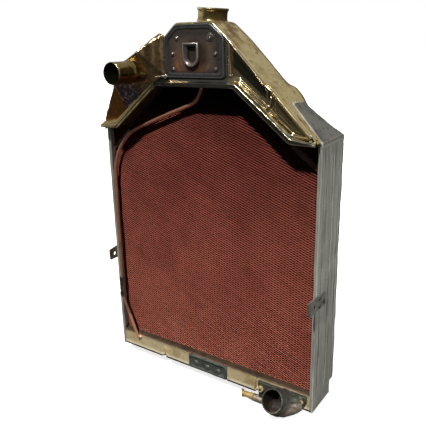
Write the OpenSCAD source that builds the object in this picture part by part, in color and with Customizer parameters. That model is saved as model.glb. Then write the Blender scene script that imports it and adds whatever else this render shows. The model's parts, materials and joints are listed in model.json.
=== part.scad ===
// Vintage car radiator: gabled brass header tank, honeycomb core, pressed
// side plates and a shallow brass bottom tank.
// X runs across the car, +Y runs towards the front of the car, +Z is up.
// The origin is on the centre plane, at the engine-side face of the side
// plates and at the underside of the bottom tank.

/* [Overall] */
// Width over the two side plates
overall_w = 468.6; // [460:0.2:476]
// Depth of a side plate, front to back
plate_depth = 89; // [84:0.5:94]
// Height of the side plates' top ends
shoulder_z = 500; // [496:1:504]
// Thickness of the sheet metal
sheet_t = 1.6; // [1.2:0.1:2]

/* [Core] */
// How far the core's face sits behind the side plates' edge
core_recess = 13; // [12:0.5:16]
// Thickness of the honeycomb core
core_depth = 65; // [58:1:68]

/* [Header tank] */
// Height of the header's flat top
peak_z = 686; // [684:0.5:690]
// Half the width of the header's flat top
peak_half_w = 38; // [34:1:42]
// How far the header's face stands out towards the engine
header_face_out = 14; // [12:0.5:16]
// How far the lip below the header's face stands out
lip_out = 22.3; // [20:0.1:24]
// Depth of the header tank behind the side plates' engine-side edge
header_back_y = 55; // [52:1:58]

/* [Necks] */
// Outside diameter of the top hose spigot
inlet_d = 38; // [36:0.5:39]
// Outside diameter of the bottom hose spigot
outlet_d = 44.5; // [42:0.5:46]
// Outside diameter of the filler neck
neck_d = 51; // [46:0.5:52]

/* [Bottom tank] */
// Height of the bottom tank
tank_h = 33.7; // [32:0.1:36]
// Depth of the bottom tank
tank_depth = 76; // [70:1:80]

/* [Drain tap] */
// Radial clearance between the plug and its barrel
plug_clearance = 0.06; // [0.02:0.01:0.1]

/* [Hidden] */

eps = 0.01;
round_fn = 64;
blend_fn = 32;

half_w = overall_w / 2;
plate_in = half_w - sheet_t;
tank_half_w = plate_in - 1.8;
core_half_w = plate_in - 1.4;
core_back_y = core_recess + core_depth;
flange_w = 6.4;

// Half outlines of the header, from the centre plane outwards, as [x, z].
ridge_sum = 729.5;
outer_ridge_sum = shoulder_z + half_w - 1.3;
joggle_x = [141.5, 153.5];
box_half_w = 73;
seam_drop = sheet_t * sqrt(2);
top_path = [
    [0, peak_z],
    [peak_half_w, peak_z],
    [box_half_w, ridge_sum - box_half_w],
    [joggle_x[0], ridge_sum - joggle_x[0]],
    [joggle_x[1], outer_ridge_sum - joggle_x[1]],
    [plate_in - 0.5, outer_ridge_sum - plate_in + 0.5]
];
lip_path = [
    [0, 579.4],
    [82, 579.4],
    [185.5, shoulder_z - 4],
    [231, shoulder_z - 4]
];
face_low_path = [
    [0, 588],
    [87, 588],
    [186, shoulder_z + 9],
    [outer_ridge_sum - shoulder_z - 9, shoulder_z + 9]
];
floor_lift = 3;

// Honeycomb core and the plates it stands between
lower_plate_t = 2;
core_foot_z = tank_h + lower_plate_t;

// Filler neck, leaning a little to the right
neck_x = 11;
neck_y = 27.5;
neck_tilt = 5;
neck_wall = 1.5;
neck_below = 8;
neck_above = 23;
neck_bead_r = 1.8;
neck_fillet = 1.4;

// Top hose spigot, pointing at the engine
inlet_x = -110;
inlet_z = 606;
inlet_tip_y = -103;
inlet_root_y = -30;
inlet_step_y = -62;
inlet_step = 0.5;
inlet_wall = 1.4;

// Inlet housing: outer ridge and the foot line that meets the lip
housing_ridge = [
    [-72, -15, 663], [-79, -28, 656], [-99, -49, 640], [-126, -56, 622], [-152, -56, 583], [-223, -15, 511]
];
housing_foot = [[-84, -24, 594], [-90, -18, 590], [-158, -18, 537], [-184, -15, 512]];
housing_back_y = -header_face_out - 0.11;

// Vent plate on the centre box
vent_plate_t = 3;
vent_half_w = 60;
vent_low_z = 597;
vent_shoulder_z = 655;
vent_top_half_w = 33;
vent_top_z = 680;
stud_places = [[35, 660], [45, 634], [45.5, 607]];
stud_r = 3.2;
sleeve_half_w = 15;
sleeve_top_z = 652;
sleeve_low_z = 614;
sleeve_x = -3;

// Bottom hose elbow
elbow_rim = [176.5, -50, 34];
elbow_azimuth = -8;
elbow_elevation = 33;
elbow_wall = 3.2;
elbow_heel_reach = 42;
elbow_free_wall = 14;
elbow_port_r = 11;
outlet_stud_r = 2.5;

// Drain tap, screwed into the boss under the tank
tap_axis = [0, -2, -12.5];
tap_boss_end_x = 150;
tap_barrel_x = 90;
tap_bore_r = 3.5;
tap_boss_r = 7.5;
tap_gland_x = 110;

// Side brackets
bracket_t = 2.5;
bracket_outline = [[32, 209], [32, 234], [5, 236], [-39, 237], [-31, 209]];
bracket_outline_left = [[32, 209], [32, 234], [5, 236], [-22, 232], [-21, 209]];
bracket_hole = [-15, 221];
bracket_hole_left = [-7, 220];
bracket_hole_r = 4;
rivet_places = [[7.5, 229.5], [7.5, 214.5], [26, 217]];
rivet_r = 2.5;

function mirrored(p) = [for (i = [len(p) - 1:-1:0]) [-p[i][0], p[i][1]]];
function reversed(p) = [for (i = [len(p) - 1:-1:0]) p[i]];
// Whole outline from the left end to the right end
function span(p) = concat(mirrored(p), [for (i = [1:len(p) - 1]) p[i]]);
function shifted(p, dz) = [for (q = p) [q[0], q[1] + dz]];

module between(upper, lower) {
    polygon(concat(span(upper), reversed(span(lower))));
}

// Wall of the header tank: under the top sheet, down to the line low
module header_wall(low) {
    foot_z = low[len(low) - 1][1];
    under_top = shifted([for (i = [0:4]) top_path[i]], -seam_drop);
    toe = [outer_ridge_sum - seam_drop - foot_z, foot_z];
    between(concat(under_top, [toe]), [for (i = [0:len(low) - 2]) low[i]]);
}

module in_depth(y0, y1) {
    translate([0, y1, 0])
        rotate([90, 0, 0])
            linear_extrude(y1 - y0) children();
}

module on_side(x0, x1) {
    translate([x0, 0, 0])
        rotate([90, 0, 90])
            linear_extrude(x1 - x0) children();
}

module tube(h, r_out, r_in) {
    difference() {
        cylinder(h = h, r = r_out, $fn = round_fn);
        translate([0, 0, -1])
            cylinder(h = h + 2, r = r_in, $fn = round_fn);
    }
}

// Round bar from point a to point b
module rod(a, b, r) {
    d = b - a;
    turn = atan2(d[1], d[0]);
    tilt = acos(d[2] / norm(d));
    translate(a)
        rotate([0, tilt, turn])
            cylinder(h = norm(d), r = r, $fn = round_fn);
}

module core() {
    color("firebrick")
        in_depth(core_recess, core_back_y)
            polygon(concat(
                [[-core_half_w, core_foot_z]],
                span([for (q = lip_path) [min(q[0], core_half_w), q[1] + floor_lift]]),
                [[core_half_w, core_foot_z]]
            ));
}

module upper_tube_plate() {
    floor_path = [for (q = lip_path) [min(q[0], 230), q[1] + floor_lift]];
    color("darkgoldenrod")
        in_depth(-header_face_out, plate_depth - 4)
            between(shifted(floor_path, sheet_t), floor_path);
}

module lower_tube_plate() {
    color("saddlebrown")
        translate([-tank_half_w, 0, tank_h])
            cube([2 * tank_half_w, core_back_y + 4, lower_plate_t]);
}

pad_half_w = 48;
pad_top_z = 31.5;
pad_depth = 12;
pad_proud = 2;
pad_rim = 5;
pad_floor_y = 3;

module pad_outline(grow, foot = 0) {
    bevel = 5;
    w = pad_half_w + grow;
    top = pad_top_z + grow;
    polygon([[-w, -foot], [w, -foot], [w, top - bevel], [w - bevel, top], [bevel - w, top], [-w, top - bevel]]);
}

module bottom_tank() {
    recess_back_y = pad_depth + sheet_t;
    color("goldenrod")
        difference() {
            translate([-tank_half_w, 0, 0])
                cube([2 * tank_half_w, tank_depth, tank_h]);
            difference() {
                translate([sheet_t - tank_half_w, sheet_t, sheet_t])
                    cube([2 * (tank_half_w - sheet_t), tank_depth - 2 * sheet_t, tank_h]);
                translate([0, eps, 0])
                    in_depth(0, recess_back_y) pad_outline(sheet_t);
            }
            in_depth(-1, pad_depth) pad_outline(0, 1);
            translate([elbow_rim[0], sheet_t + 1, tank_h / 2])
                rotate([90, 0, 0])
                    cylinder(h = sheet_t + 2, r = elbow_port_r, $fn = round_fn);
        }
}

plate_top_z = shoulder_z - 2;
notch_z = 28;
groove_places = [14, 46, 75];
groove_half_w = 3;
groove_low_z = 42;
groove_high_z = 486;

module groove_outline(y, half) {
    steps = 12;
    low_end = [for (i = [0:steps]) [y - half * cos(i * 180 / steps), groove_low_z - half * sin(i * 180 / steps)]];
    high_end = [for (i = [0:steps]) [y + half * cos(i * 180 / steps), groove_high_z + half * sin(i * 180 / steps)]];
    polygon(concat(low_end, high_end));
}

module side_plate_outline() {
    polygon([
        [0, 0], [tank_depth, 0], [tank_depth, notch_z], [plate_depth, notch_z],
        [plate_depth, plate_top_z], [0, plate_top_z]
    ]);
}

module side_plate() {
    difference() {
        union() {
            on_side(plate_in, half_w) side_plate_outline();
            translate([half_w - flange_w, -sheet_t, 0])
                cube([flange_w, sheet_t, plate_top_z - 4]);
            translate([half_w - flange_w, plate_depth - sheet_t, notch_z])
                cube([flange_w, sheet_t, plate_top_z - notch_z]);
        }
        for (y = groove_places)
            on_side(half_w - 0.8, half_w + 1) groove_outline(y, groove_half_w);
        bracket_rivet_holes();
    }
}

module bracket_rivet_holes() {
    for (p = rivet_places)
        translate([half_w - 5, p[0], p[1]])
            rotate([0, 90, 0])
                cylinder(h = 10, r = rivet_r, $fn = round_fn);
}

module side_plate_right() {
    color("darkgray") side_plate();
}

module side_plate_left() {
    color("darkgray") mirror([1, 0, 0]) side_plate();
}

module header_engine_sheet() {
    color("goldenrod")
        difference() {
            in_depth(-header_face_out, sheet_t - header_face_out)
                header_wall(face_low_path);
            inlet_opening(-header_face_out - 1, sheet_t - header_face_out + 1);
            translate([sleeve_x, 0, 0])
                in_depth(-header_face_out - 1, sheet_t - header_face_out + 1) sleeve_outline(1);
        }
}

module inlet_opening(y0, y1) {
    in_depth(y0, y1)
        polygon([[-100, 600], [-140, 565], [-150, 566], [-105, 612]]);
}

module header_front_sheet() {
    lift = floor_lift + sheet_t;
    color("goldenrod")
        in_depth(header_back_y - sheet_t, header_back_y)
            header_wall(shifted(lip_path, lift));
}

module header_top_sheet() {
    color("gold")
        difference() {
            in_depth(-header_face_out, header_back_y)
                between(top_path, shifted(top_path, -seam_drop));
            at_neck(-neck_below)
                cylinder(h = 20, r = neck_d / 2, $fn = round_fn);
        }
}

module header_lip() {
    color("gold")
        difference() {
            in_depth(-lip_out, -header_face_out)
                between(face_low_path, lip_path);
            in_depth(sheet_t - lip_out, 1 - header_face_out)
                between(shifted(face_low_path, -2 * sheet_t), shifted(lip_path, 2 * sheet_t));
        }
}

shoulder_inner_x = 158;

module shoulder() {
    slope_len = (half_w - shoulder_inner_x) * sqrt(2);
    top_z = outer_ridge_sum - shoulder_inner_x;
    translate([shoulder_inner_x, 0, top_z + eps])
        rotate([0, 45, 0])
            linear_extrude(sheet_t)
                polygon([[0, 5], [slope_len, 3], [slope_len, plate_depth], [0, 62]]);
}

module shoulder_right() {
    color("gray") shoulder();
}

module shoulder_left() {
    color("gray") mirror([1, 0, 0]) shoulder();
}

function arc(cx, cz, r, a0, a1, steps) = [
    for (i = [0:steps]) [cx + r * cos(a0 + (a1 - a0) * i / steps), cz + r * sin(a0 + (a1 - a0) * i / steps)]
];

module sleeve_outline(grow) {
    r = sleeve_half_w + grow;
    top = sleeve_top_z + grow;
    polygon(concat([[-r, top]], arc(0, sleeve_low_z + sleeve_half_w, r, 180, 360, 24), [[r, top]]));
}

module vent_plate() {
    w = vent_half_w;
    color("saddlebrown")
        difference() {
            in_depth(-header_face_out - vent_plate_t, -header_face_out)
                polygon([
                    [-w, vent_low_z], [w, vent_low_z], [w, vent_shoulder_z],
                    [vent_top_half_w, vent_top_z], [-vent_top_half_w, vent_top_z],
                    [-w, vent_shoulder_z]
                ]);
            translate([sleeve_x, 0, 0])
                in_depth(-header_face_out - vent_plate_t - 1, 1 - header_face_out) sleeve_outline(1);
            vent_stud_bodies(stud_r, header_face_out + vent_plate_t + 1, vent_plate_t + 2);
        }
}

module vent_stud_bodies(r, out_y, length) {
    for (side = [-1, 1], p = stud_places)
        translate([side * p[0], length - out_y, p[1]])
            rotate([90, 0, 0])
                cylinder(h = length, r = r, $fn = round_fn);
}

module vent_plate_studs() {
    plate_face = header_face_out + vent_plate_t;
    color("silver")
        union() {
            vent_stud_bodies(stud_r, plate_face + eps, vent_plate_t);
            vent_stud_bodies(stud_r + 2, plate_face + 1.6, 1.6);
            vent_stud_bodies(stud_r - 0.4, plate_face + 3.6, 2.4);
        }
}

module vent_sleeve() {
    sleeve_out = header_face_out + vent_plate_t + 5;
    color("dimgray")
        translate([sleeve_x, 0, 0])
            difference() {
                in_depth(-sleeve_out, 6 - header_face_out) sleeve_outline(1);
                in_depth(-sleeve_out - 1, 7 - header_face_out) sleeve_outline(-1.2);
            }
}

function towards(p, c, d) = p + d * (c - p) / norm(c - p);

module housing_solid(inset) {
    middle = [-145, -26, 566];
    back = [for (q = concat(housing_ridge, housing_foot)) [q[0], housing_back_y, q[2]]];
    hull()
        for (q = concat(housing_ridge, housing_foot, back))
            translate(towards(q, middle, inset))
                cube(0.2, center = true);
}

module inlet_housing() {
    color("olive")
        difference() {
            housing_solid(0);
            housing_solid(3);
            inlet_opening(housing_back_y - 8, housing_back_y + 1);
            along_inlet(0)
                cylinder(h = 120, r = inlet_d / 2 - inlet_step, $fn = round_fn);
        }
}

module along_inlet(y) {
    translate([inlet_x, y, inlet_z])
        rotate([90, 0, 0]) children();
}

module inlet_spigot() {
    r = inlet_d / 2;
    color("gold")
        difference() {
            union() {
                along_inlet(inlet_root_y)
                    cylinder(h = inlet_root_y - inlet_step_y + 1, r = r - inlet_step, $fn = round_fn);
                along_inlet(inlet_step_y)
                    cylinder(h = inlet_step_y - inlet_tip_y, r = r, $fn = round_fn);
            }
            along_inlet(inlet_root_y + 1)
                cylinder(h = inlet_root_y - inlet_tip_y + 2, r = r - inlet_wall, $fn = round_fn);
        }
}

module inlet_baffle() {
    color("tan")
        in_depth(12, 12 + sheet_t)
            polygon([[-150, 549], [-80, 600], [-80, 642], [-150, 572]]);
}

// Placed along the neck's axis, at height h over the flat top
module at_neck(h) {
    translate([neck_x, neck_y, peak_z])
        rotate([0, neck_tilt, 0])
            translate([0, 0, h]) children();
}

module filler_neck() {
    r = neck_d / 2;
    color("goldenrod")
        at_neck(-neck_below) tube(neck_below + neck_above, r, r - neck_wall);
}

module neck_rim() {
    r = neck_d / 2;
    color("gold")
        union() {
            at_neck(neck_above - neck_bead_r)
                rotate_extrude($fn = round_fn)
                    translate([r, 0])
                        difference() {
                            circle(r = neck_bead_r, $fn = 24);
                            translate([-2 * neck_bead_r, -neck_bead_r])
                                square([2 * neck_bead_r, 2 * neck_bead_r]);
                        }
            difference() {
                translate([neck_x, neck_y, peak_z])
                    cylinder(h = neck_fillet, r1 = r + neck_fillet, r2 = r + 0.5, $fn = round_fn);
                at_neck(-neck_below)
                    cylinder(h = neck_below + neck_above, r = r, $fn = round_fn);
            }
        }
}

// Overflow pipe: leaves the header, crosses the core's face and runs down its
// left edge, in a plane that leans out a little towards its foot. [x, z, bend].
pipe_r = 3.2;
pipe_lean = 0.89;
pipe_foot_y = -3.9;
pipe_corners = [
    [3, 577.8 + floor_lift, 0],
    [-10.8, 552.3, 22],
    [-224.6, 468.7, 117],
    [-224.6, 117.8, 60],
    [-186, 27, 0]
];

function flat(q) = [q[0], q[1]];
function unit(v) = v / norm(v);
function corner(i) = flat(pipe_corners[i]);
function turn_in(i) = unit(corner(i) - corner(i - 1));
function turn_out(i) = unit(corner(i + 1) - corner(i));
function turn_angle(i) = let (u = turn_in(i), v = turn_out(i))
    atan2(u[0] * v[1] - u[1] * v[0], u[0] * v[0] + u[1] * v[1]);
function bend_cut(i) = pipe_corners[i][2] == 0 ? 0 : pipe_corners[i][2] * tan(abs(turn_angle(i)) / 2);

module pipe_straight(i) {
    seat = 1;
    from = corner(i) + max(bend_cut(i) - seat, 0) * turn_out(i);
    to = corner(i + 1) - max(bend_cut(i + 1) - seat, 0) * turn_out(i);
    heading = atan2(to[1] - from[1], to[0] - from[0]);
    translate([from[0], from[1], 0])
        rotate([0, 0, heading])
            rotate([0, 90, 0])
                cylinder(h = norm(to - from), r = pipe_r - 0.1, $fn = round_fn);
}

module pipe_bend(i) {
    bend_r = pipe_corners[i][2];
    inward = unit(turn_out(i) - turn_in(i));
    centre = corner(i) + inward * bend_r / cos(turn_angle(i) / 2);
    start = corner(i) - bend_cut(i) * turn_in(i) - centre;
    translate([centre[0], centre[1], 0])
        rotate([0, 0, atan2(start[1], start[0])])
            rotate_extrude(angle = turn_angle(i), $fn = 96)
                translate([bend_r, 0])
                    circle(r = pipe_r, $fn = round_fn);
}

module overflow_pipe() {
    last = len(pipe_corners) - 1;
    color("peru")
        translate([0, pipe_foot_y, 0])
            rotate([90 - pipe_lean, 0, 0])
                union() {
                    for (i = [0:last - 1])
                        pipe_straight(i);
                    for (i = [1:last - 1])
                        pipe_bend(i);
                }
}

// Corner stays under the ends of the header
stay_a = [178, 490];
stay_b = [plate_in - 3.2, 448.6];
stay_w = 9;

module corner_stay() {
    d = stay_b - stay_a;
    n = [-d[1], d[0]] / norm(d) * stay_w / 2;
    in_depth(core_recess - 5, core_recess - 5 + sheet_t)
        polygon([stay_a - n, stay_b - n, stay_b + n, stay_a + n]);
}

module corner_stay_right() {
    color("dimgray") corner_stay();
}

module corner_stay_left() {
    color("dimgray") mirror([1, 0, 0]) corner_stay();
}

module side_bracket(outline, hole) {
    color("gray")
        difference() {
            on_side(half_w, half_w + bracket_t)
                polygon(outline);
            translate([half_w - 1, hole[0], hole[1]])
                rotate([0, 90, 0])
                    cylinder(h = bracket_t + 2, r = bracket_hole_r, $fn = round_fn);
            bracket_rivet_holes();
        }
}

module side_bracket_right() {
    side_bracket(bracket_outline, bracket_hole);
}

module side_bracket_left() {
    mirror([1, 0, 0]) side_bracket(bracket_outline_left, bracket_hole_left);
}

module bracket_rivet(p) {
    translate([half_w - sheet_t - 1, p[0], p[1]])
        rotate([0, 90, 0])
            union() {
                cylinder(h = bracket_t + sheet_t + 1 + eps, r = rivet_r, $fn = round_fn);
                cylinder(h = 1, r = rivet_r + 1.5, $fn = round_fn);
                translate([0, 0, bracket_t + sheet_t + 1])
                    cylinder(h = 1.6, r1 = rivet_r + 2, r2 = rivet_r - 0.5, $fn = round_fn);
            }
}

module bracket_rivets() {
    color("silver")
        for (side = [0, 1], p = rivet_places)
            mirror([side, 0, 0]) bracket_rivet(p);
}

pad_rivet_x = [-30, -2, 25];
pad_rivet_z = 13;

module mounting_pad() {
    color("darkslategray")
        difference() {
            in_depth(-pad_proud, pad_depth) pad_outline(0);
            in_depth(-pad_proud - 1, pad_floor_y)
                translate([pad_rim - pad_half_w, pad_rim])
                    square([2 * (pad_half_w - pad_rim), pad_top_z - 2 * pad_rim]);
            for (x = pad_rivet_x)
                translate([x, pad_depth + 1, pad_rivet_z])
                    rotate([90, 0, 0])
                        cylinder(h = pad_depth + 2, r = 4, $fn = round_fn);
        }
}

module pad_rivets() {
    color("gray")
        for (x = pad_rivet_x)
            translate([x, pad_depth, pad_rivet_z])
                rotate([90, 0, 0])
                    union() {
                        cylinder(h = pad_depth - pad_floor_y + eps, r = 4, $fn = round_fn);
                        translate([0, 0, pad_depth - pad_floor_y])
                            cylinder(h = 3.2, r1 = 7, r2 = 4, $fn = round_fn);
                    }
}

// Unit vector along the bottom hose spigot, out of its mouth
elbow_dir = [
    sin(elbow_azimuth) * cos(elbow_elevation),
    -cos(elbow_azimuth) * cos(elbow_elevation),
    sin(elbow_elevation)
];
elbow_heel = elbow_rim - elbow_heel_reach * elbow_dir;
elbow_flange_t = 7;
outlet_stud_places = [[130, 17], [213, 21]];

module elbow_flange() {
    in_depth(-elbow_flange_t, 0)
        polygon([[124, -4], [122, 30], [222, 31.5], [224, 22], [204, -4]]);
}

module elbow_body() {
    r_out = outlet_d / 2;
    difference() {
        hull() {
            translate(elbow_heel)
                sphere(r = r_out + 3.2, $fn = blend_fn);
            translate([elbow_rim[0] + 7.5, -2, 2])
                rotate([90, 0, 0])
                    cylinder(h = 1, r = 24, $fn = blend_fn);
            translate([201, -4, 14])
                cube([8, 4, 18], center = true);
        }
        in_depth(-1.5, 60)
            translate([-300, -100]) square([600, 300]);
    }
}

module outlet_elbow() {
    r_out = outlet_d / 2;
    color("dimgray")
        difference() {
            union() {
                elbow_flange();
                elbow_body();
                rod(elbow_heel, elbow_rim, r_out);
                rod(elbow_heel, elbow_rim - elbow_free_wall * elbow_dir, r_out + 1);
                along_tap(tap_boss_end_x + 25)
                    cylinder(h = 35, r = tap_boss_r + 2, $fn = round_fn);
            }
            rod(elbow_heel, elbow_rim + 2 * elbow_dir, r_out - elbow_wall);
            translate([elbow_rim[0], 1, tank_h / 2])
                rotate([90, 0, 0])
                    cylinder(h = 22, r = elbow_port_r, $fn = round_fn);
            outlet_stud_rods(outlet_stud_r, 1);
            along_tap(tap_boss_end_x)
                cylinder(h = 60, r = tap_boss_r, $fn = round_fn);
            along_tap(tap_boss_end_x + 20)
                cylinder(h = 30, r = tap_bore_r, $fn = round_fn);
            translate([tap_boss_end_x + 18, -5, tap_axis[2]])
                cylinder(h = 24, r = 2.5, $fn = round_fn);
        }
}

module outlet_stud_rods(r, extra) {
    for (p = outlet_stud_places)
        translate([p[0], extra, p[1]])
            rotate([90, 0, 0])
                cylinder(h = elbow_flange_t + 2 * extra + 5, r = r, $fn = round_fn);
}

module outlet_studs() {
    color("silver") outlet_stud_rods(outlet_stud_r, 0);
}

module outlet_nuts() {
    color("goldenrod")
        for (p = outlet_stud_places)
            translate([p[0], -elbow_flange_t, p[1]])
                rotate([90, 0, 0])
                    difference() {
                        cylinder(h = 5, r = 6.2, $fn = 6);
                        translate([0, 0, -1])
                            cylinder(h = 7, r = outlet_stud_r, $fn = round_fn);
                    }
}

module along_tap(x) {
    translate([x, tap_axis[1], tap_axis[2]])
        rotate([0, -90, 0]) children();
}

module drain_boss() {
    color("gray")
        difference() {
            along_tap(tap_boss_end_x)
                cylinder(h = tap_boss_end_x - tap_gland_x, r = tap_boss_r, $fn = round_fn);
            along_tap(tap_boss_end_x + 1)
                cylinder(h = tap_boss_end_x - tap_gland_x + 2, r = tap_bore_r, $fn = round_fn);
        }
}

module drain_tap_barrel() {
    color("goldenrod")
        difference() {
            union() {
                along_tap(tap_gland_x)
                    cylinder(h = 8, r = 7.2, $fn = 6);
                along_tap(tap_gland_x - 8)
                    cylinder(h = tap_gland_x - 8 - tap_barrel_x, r = 5.6, $fn = round_fn);
            }
            along_tap(tap_gland_x + 1)
                cylinder(h = 30, r = tap_bore_r, $fn = round_fn);
            translate([tap_gland_x - 13, tap_axis[1], tap_axis[2] - 10])
                cylinder(h = 10, r = 1.6, $fn = round_fn);
        }
}

module drain_tap_key() {
    stem_r = tap_bore_r - plug_clearance;
    stem_x = tap_gland_x - 4;
    wing_x = tap_barrel_x - 0.5;
    color("gold")
        union() {
            difference() {
                along_tap(stem_x)
                    cylinder(h = stem_x - wing_x + 1, r = stem_r, $fn = round_fn);
                along_tap(stem_x + 1)
                    cylinder(h = 13, r = 1.6, $fn = round_fn);
                translate([tap_gland_x - 13, tap_axis[1], tap_axis[2]])
                    rotate([90, 0, 0])
                        cylinder(h = 10, r = 1.4, $fn = round_fn);
            }
            along_tap(wing_x)
                cylinder(h = 4, r = 4.6, $fn = round_fn);
            translate([wing_x - 6, tap_axis[1] - 1.2, tap_axis[2] - 9])
                cube([5, 2.4, 18]);
        }
}

core();
upper_tube_plate();
lower_tube_plate();
bottom_tank();
side_plate_left();
side_plate_right();
header_engine_sheet();
header_front_sheet();
header_top_sheet();
header_lip();
shoulder_left();
shoulder_right();
vent_plate();
vent_plate_studs();
vent_sleeve();
inlet_housing();
inlet_spigot();
inlet_baffle();
filler_neck();
neck_rim();
overflow_pipe();
corner_stay_left();
corner_stay_right();
side_bracket_left();
side_bracket_right();
bracket_rivets();
mounting_pad();
pad_rivets();
outlet_elbow();
outlet_studs();
outlet_nuts();
drain_boss();
drain_tap_barrel();
drain_tap_key();
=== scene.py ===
"""Vintage car radiator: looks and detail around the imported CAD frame.

X runs across the car, +Y towards its front and +Z up. Lengths are millimetres until mesh_object() makes
metres of them. Shaders work in metres, with colours as the 0 to 255 values that the eye sees.
"""
import json
import math
from types import SimpleNamespace

import bmesh
import bpy
from mathutils import Matrix, Vector, noise


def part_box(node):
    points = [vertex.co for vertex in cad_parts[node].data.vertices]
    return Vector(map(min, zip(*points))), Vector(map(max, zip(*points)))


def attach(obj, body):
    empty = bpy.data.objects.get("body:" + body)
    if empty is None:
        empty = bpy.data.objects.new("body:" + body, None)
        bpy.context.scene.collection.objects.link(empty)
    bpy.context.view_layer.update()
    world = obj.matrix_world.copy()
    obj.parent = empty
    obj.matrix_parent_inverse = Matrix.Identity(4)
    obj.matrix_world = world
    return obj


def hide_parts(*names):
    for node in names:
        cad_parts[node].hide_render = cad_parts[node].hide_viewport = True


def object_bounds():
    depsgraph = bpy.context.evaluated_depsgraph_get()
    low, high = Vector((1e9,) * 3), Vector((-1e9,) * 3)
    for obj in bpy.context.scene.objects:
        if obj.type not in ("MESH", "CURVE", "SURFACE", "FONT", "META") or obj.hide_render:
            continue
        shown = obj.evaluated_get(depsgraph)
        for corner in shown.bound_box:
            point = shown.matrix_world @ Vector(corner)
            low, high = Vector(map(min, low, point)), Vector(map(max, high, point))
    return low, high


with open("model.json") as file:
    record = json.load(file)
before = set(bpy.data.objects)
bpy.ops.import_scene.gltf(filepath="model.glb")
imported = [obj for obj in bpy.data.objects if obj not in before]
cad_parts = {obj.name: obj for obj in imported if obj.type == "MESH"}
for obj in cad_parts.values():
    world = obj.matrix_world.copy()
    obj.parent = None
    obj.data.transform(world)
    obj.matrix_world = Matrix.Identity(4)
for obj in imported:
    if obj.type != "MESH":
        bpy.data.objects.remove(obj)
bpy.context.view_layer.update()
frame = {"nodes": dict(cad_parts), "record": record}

MM = 0.001
HANDS = (("left", -1), ("right", 1))


def box(node):
    """Lowest and highest corners of a CAD node, in millimetres."""
    low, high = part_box(node)
    return low / MM, high / MM


def lerp(a, b, t):
    return a + (b - a) * t


def clamp(value, low=0, high=1):
    return min(max(value, low), high)


def hill(x, centre, width):
    """Bell curve of height 1."""
    return math.exp(-((x - centre) / width) ** 2)


def wobble(p, scale, amount, seed=0.0):
    """Smooth repeatable unevenness at a point: scale is the size of a bump in millimetres."""
    q = Vector(p) / scale + Vector((seed, 3.7 * seed, -seed))
    return noise.noise(q) * amount


# ------------------------------------------------------------------ shader values

def make_node(where, kind, inputs=(), **settings):
    """A node in the tree that a socket belongs to. Its inputs are values or other nodes' outputs."""
    tree = where.id_data
    n = tree.nodes.new(kind)
    for key, value in settings.items():
        setattr(n, key, value)
    for key, value in dict(inputs).items():
        socket = n.inputs[key]
        if isinstance(value, bpy.types.NodeSocket):
            tree.links.new(value, socket)
        else:
            socket.default_value = value
    return n


def rgb(r, g, b):
    return tuple((c / 255) ** 2.2 for c in (r, g, b)) + (1.0,)


def mix(factor, a, b, how="MIX"):
    where = factor if isinstance(factor, bpy.types.NodeSocket) else a
    inputs = {0: factor, 6: a, 7: b}
    return make_node(where, "ShaderNodeMix", inputs, data_type="RGBA", blend_type=how).outputs[2]


def ramp(value, low, high, to_low=0.0, to_high=1.0):
    inputs = {0: value, 1: low, 2: high, 3: to_low, 4: to_high}
    return make_node(value, "ShaderNodeMapRange", inputs).outputs[0]


def joined(how, first, *values):
    """Shader values added, multiplied or compared one after the other."""
    for value in values:
        first = make_node(first, "ShaderNodeMath", {0: first, 1: value}, operation=how).outputs[0]
    return first


def times(*values):
    return joined("MULTIPLY", *values)


def plus(*values):
    return joined("ADD", *values)


def most(*values):
    return joined("MAXIMUM", *values)


def distance(place, point):
    gap = make_node(place, "ShaderNodeVectorMath", {0: place, 1: point}, operation="DISTANCE")
    return gap.outputs["Value"]


def blotches(place, scale, detail=4.0, rough=0.6, stretch=(1, 1, 1), shift=0.0):
    """Noise in object space: scale is bumps per metre along each axis, times stretch."""
    moved = make_node(place, "ShaderNodeMapping", {0: place, 1: (shift, shift, shift), 3: stretch}).outputs[0]
    return make_node(place, "ShaderNodeTexNoise", {"Vector": moved, "Scale": scale, "Detail": detail,
                                                   "Roughness": rough}).outputs[0]


def places(tree):
    """Object coordinates: all three together as place, and x, y and z alone."""
    place = make_node(tree, "ShaderNodeTexCoord").outputs["Object"]
    x, y, z = make_node(place, "ShaderNodeSeparateXYZ", {0: place}).outputs
    return SimpleNamespace(place=place, x=x, y=y, z=z)


def along(axis, *limits):
    """Amount for an overlay that ramps along x, y or z."""
    return lambda at: ramp(getattr(at, axis), *limits)


# ------------------------------------------------------------------ finishes

def overlay(mat, amount_at, colour, rough=None):
    """Lays another colour, and another roughness, over a finish where amount_at(places) says."""
    tree = mat.node_tree
    shader = tree.nodes["Principled BSDF"]
    at = places(tree)
    amount = amount_at(at)
    paint = colour(at) if callable(colour) else rgb(*colour)
    old = shader.inputs["Base Color"].links[0].from_socket
    tree.links.new(mix(amount, old, paint), shader.inputs["Base Color"])
    if rough is not None:
        gloss = shader.inputs["Roughness"].links[0].from_socket
        blend = make_node(tree, "ShaderNodeMix", {0: amount, 2: gloss, 3: rough}).outputs[0]
        tree.links.new(blend, shader.inputs["Roughness"])


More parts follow.
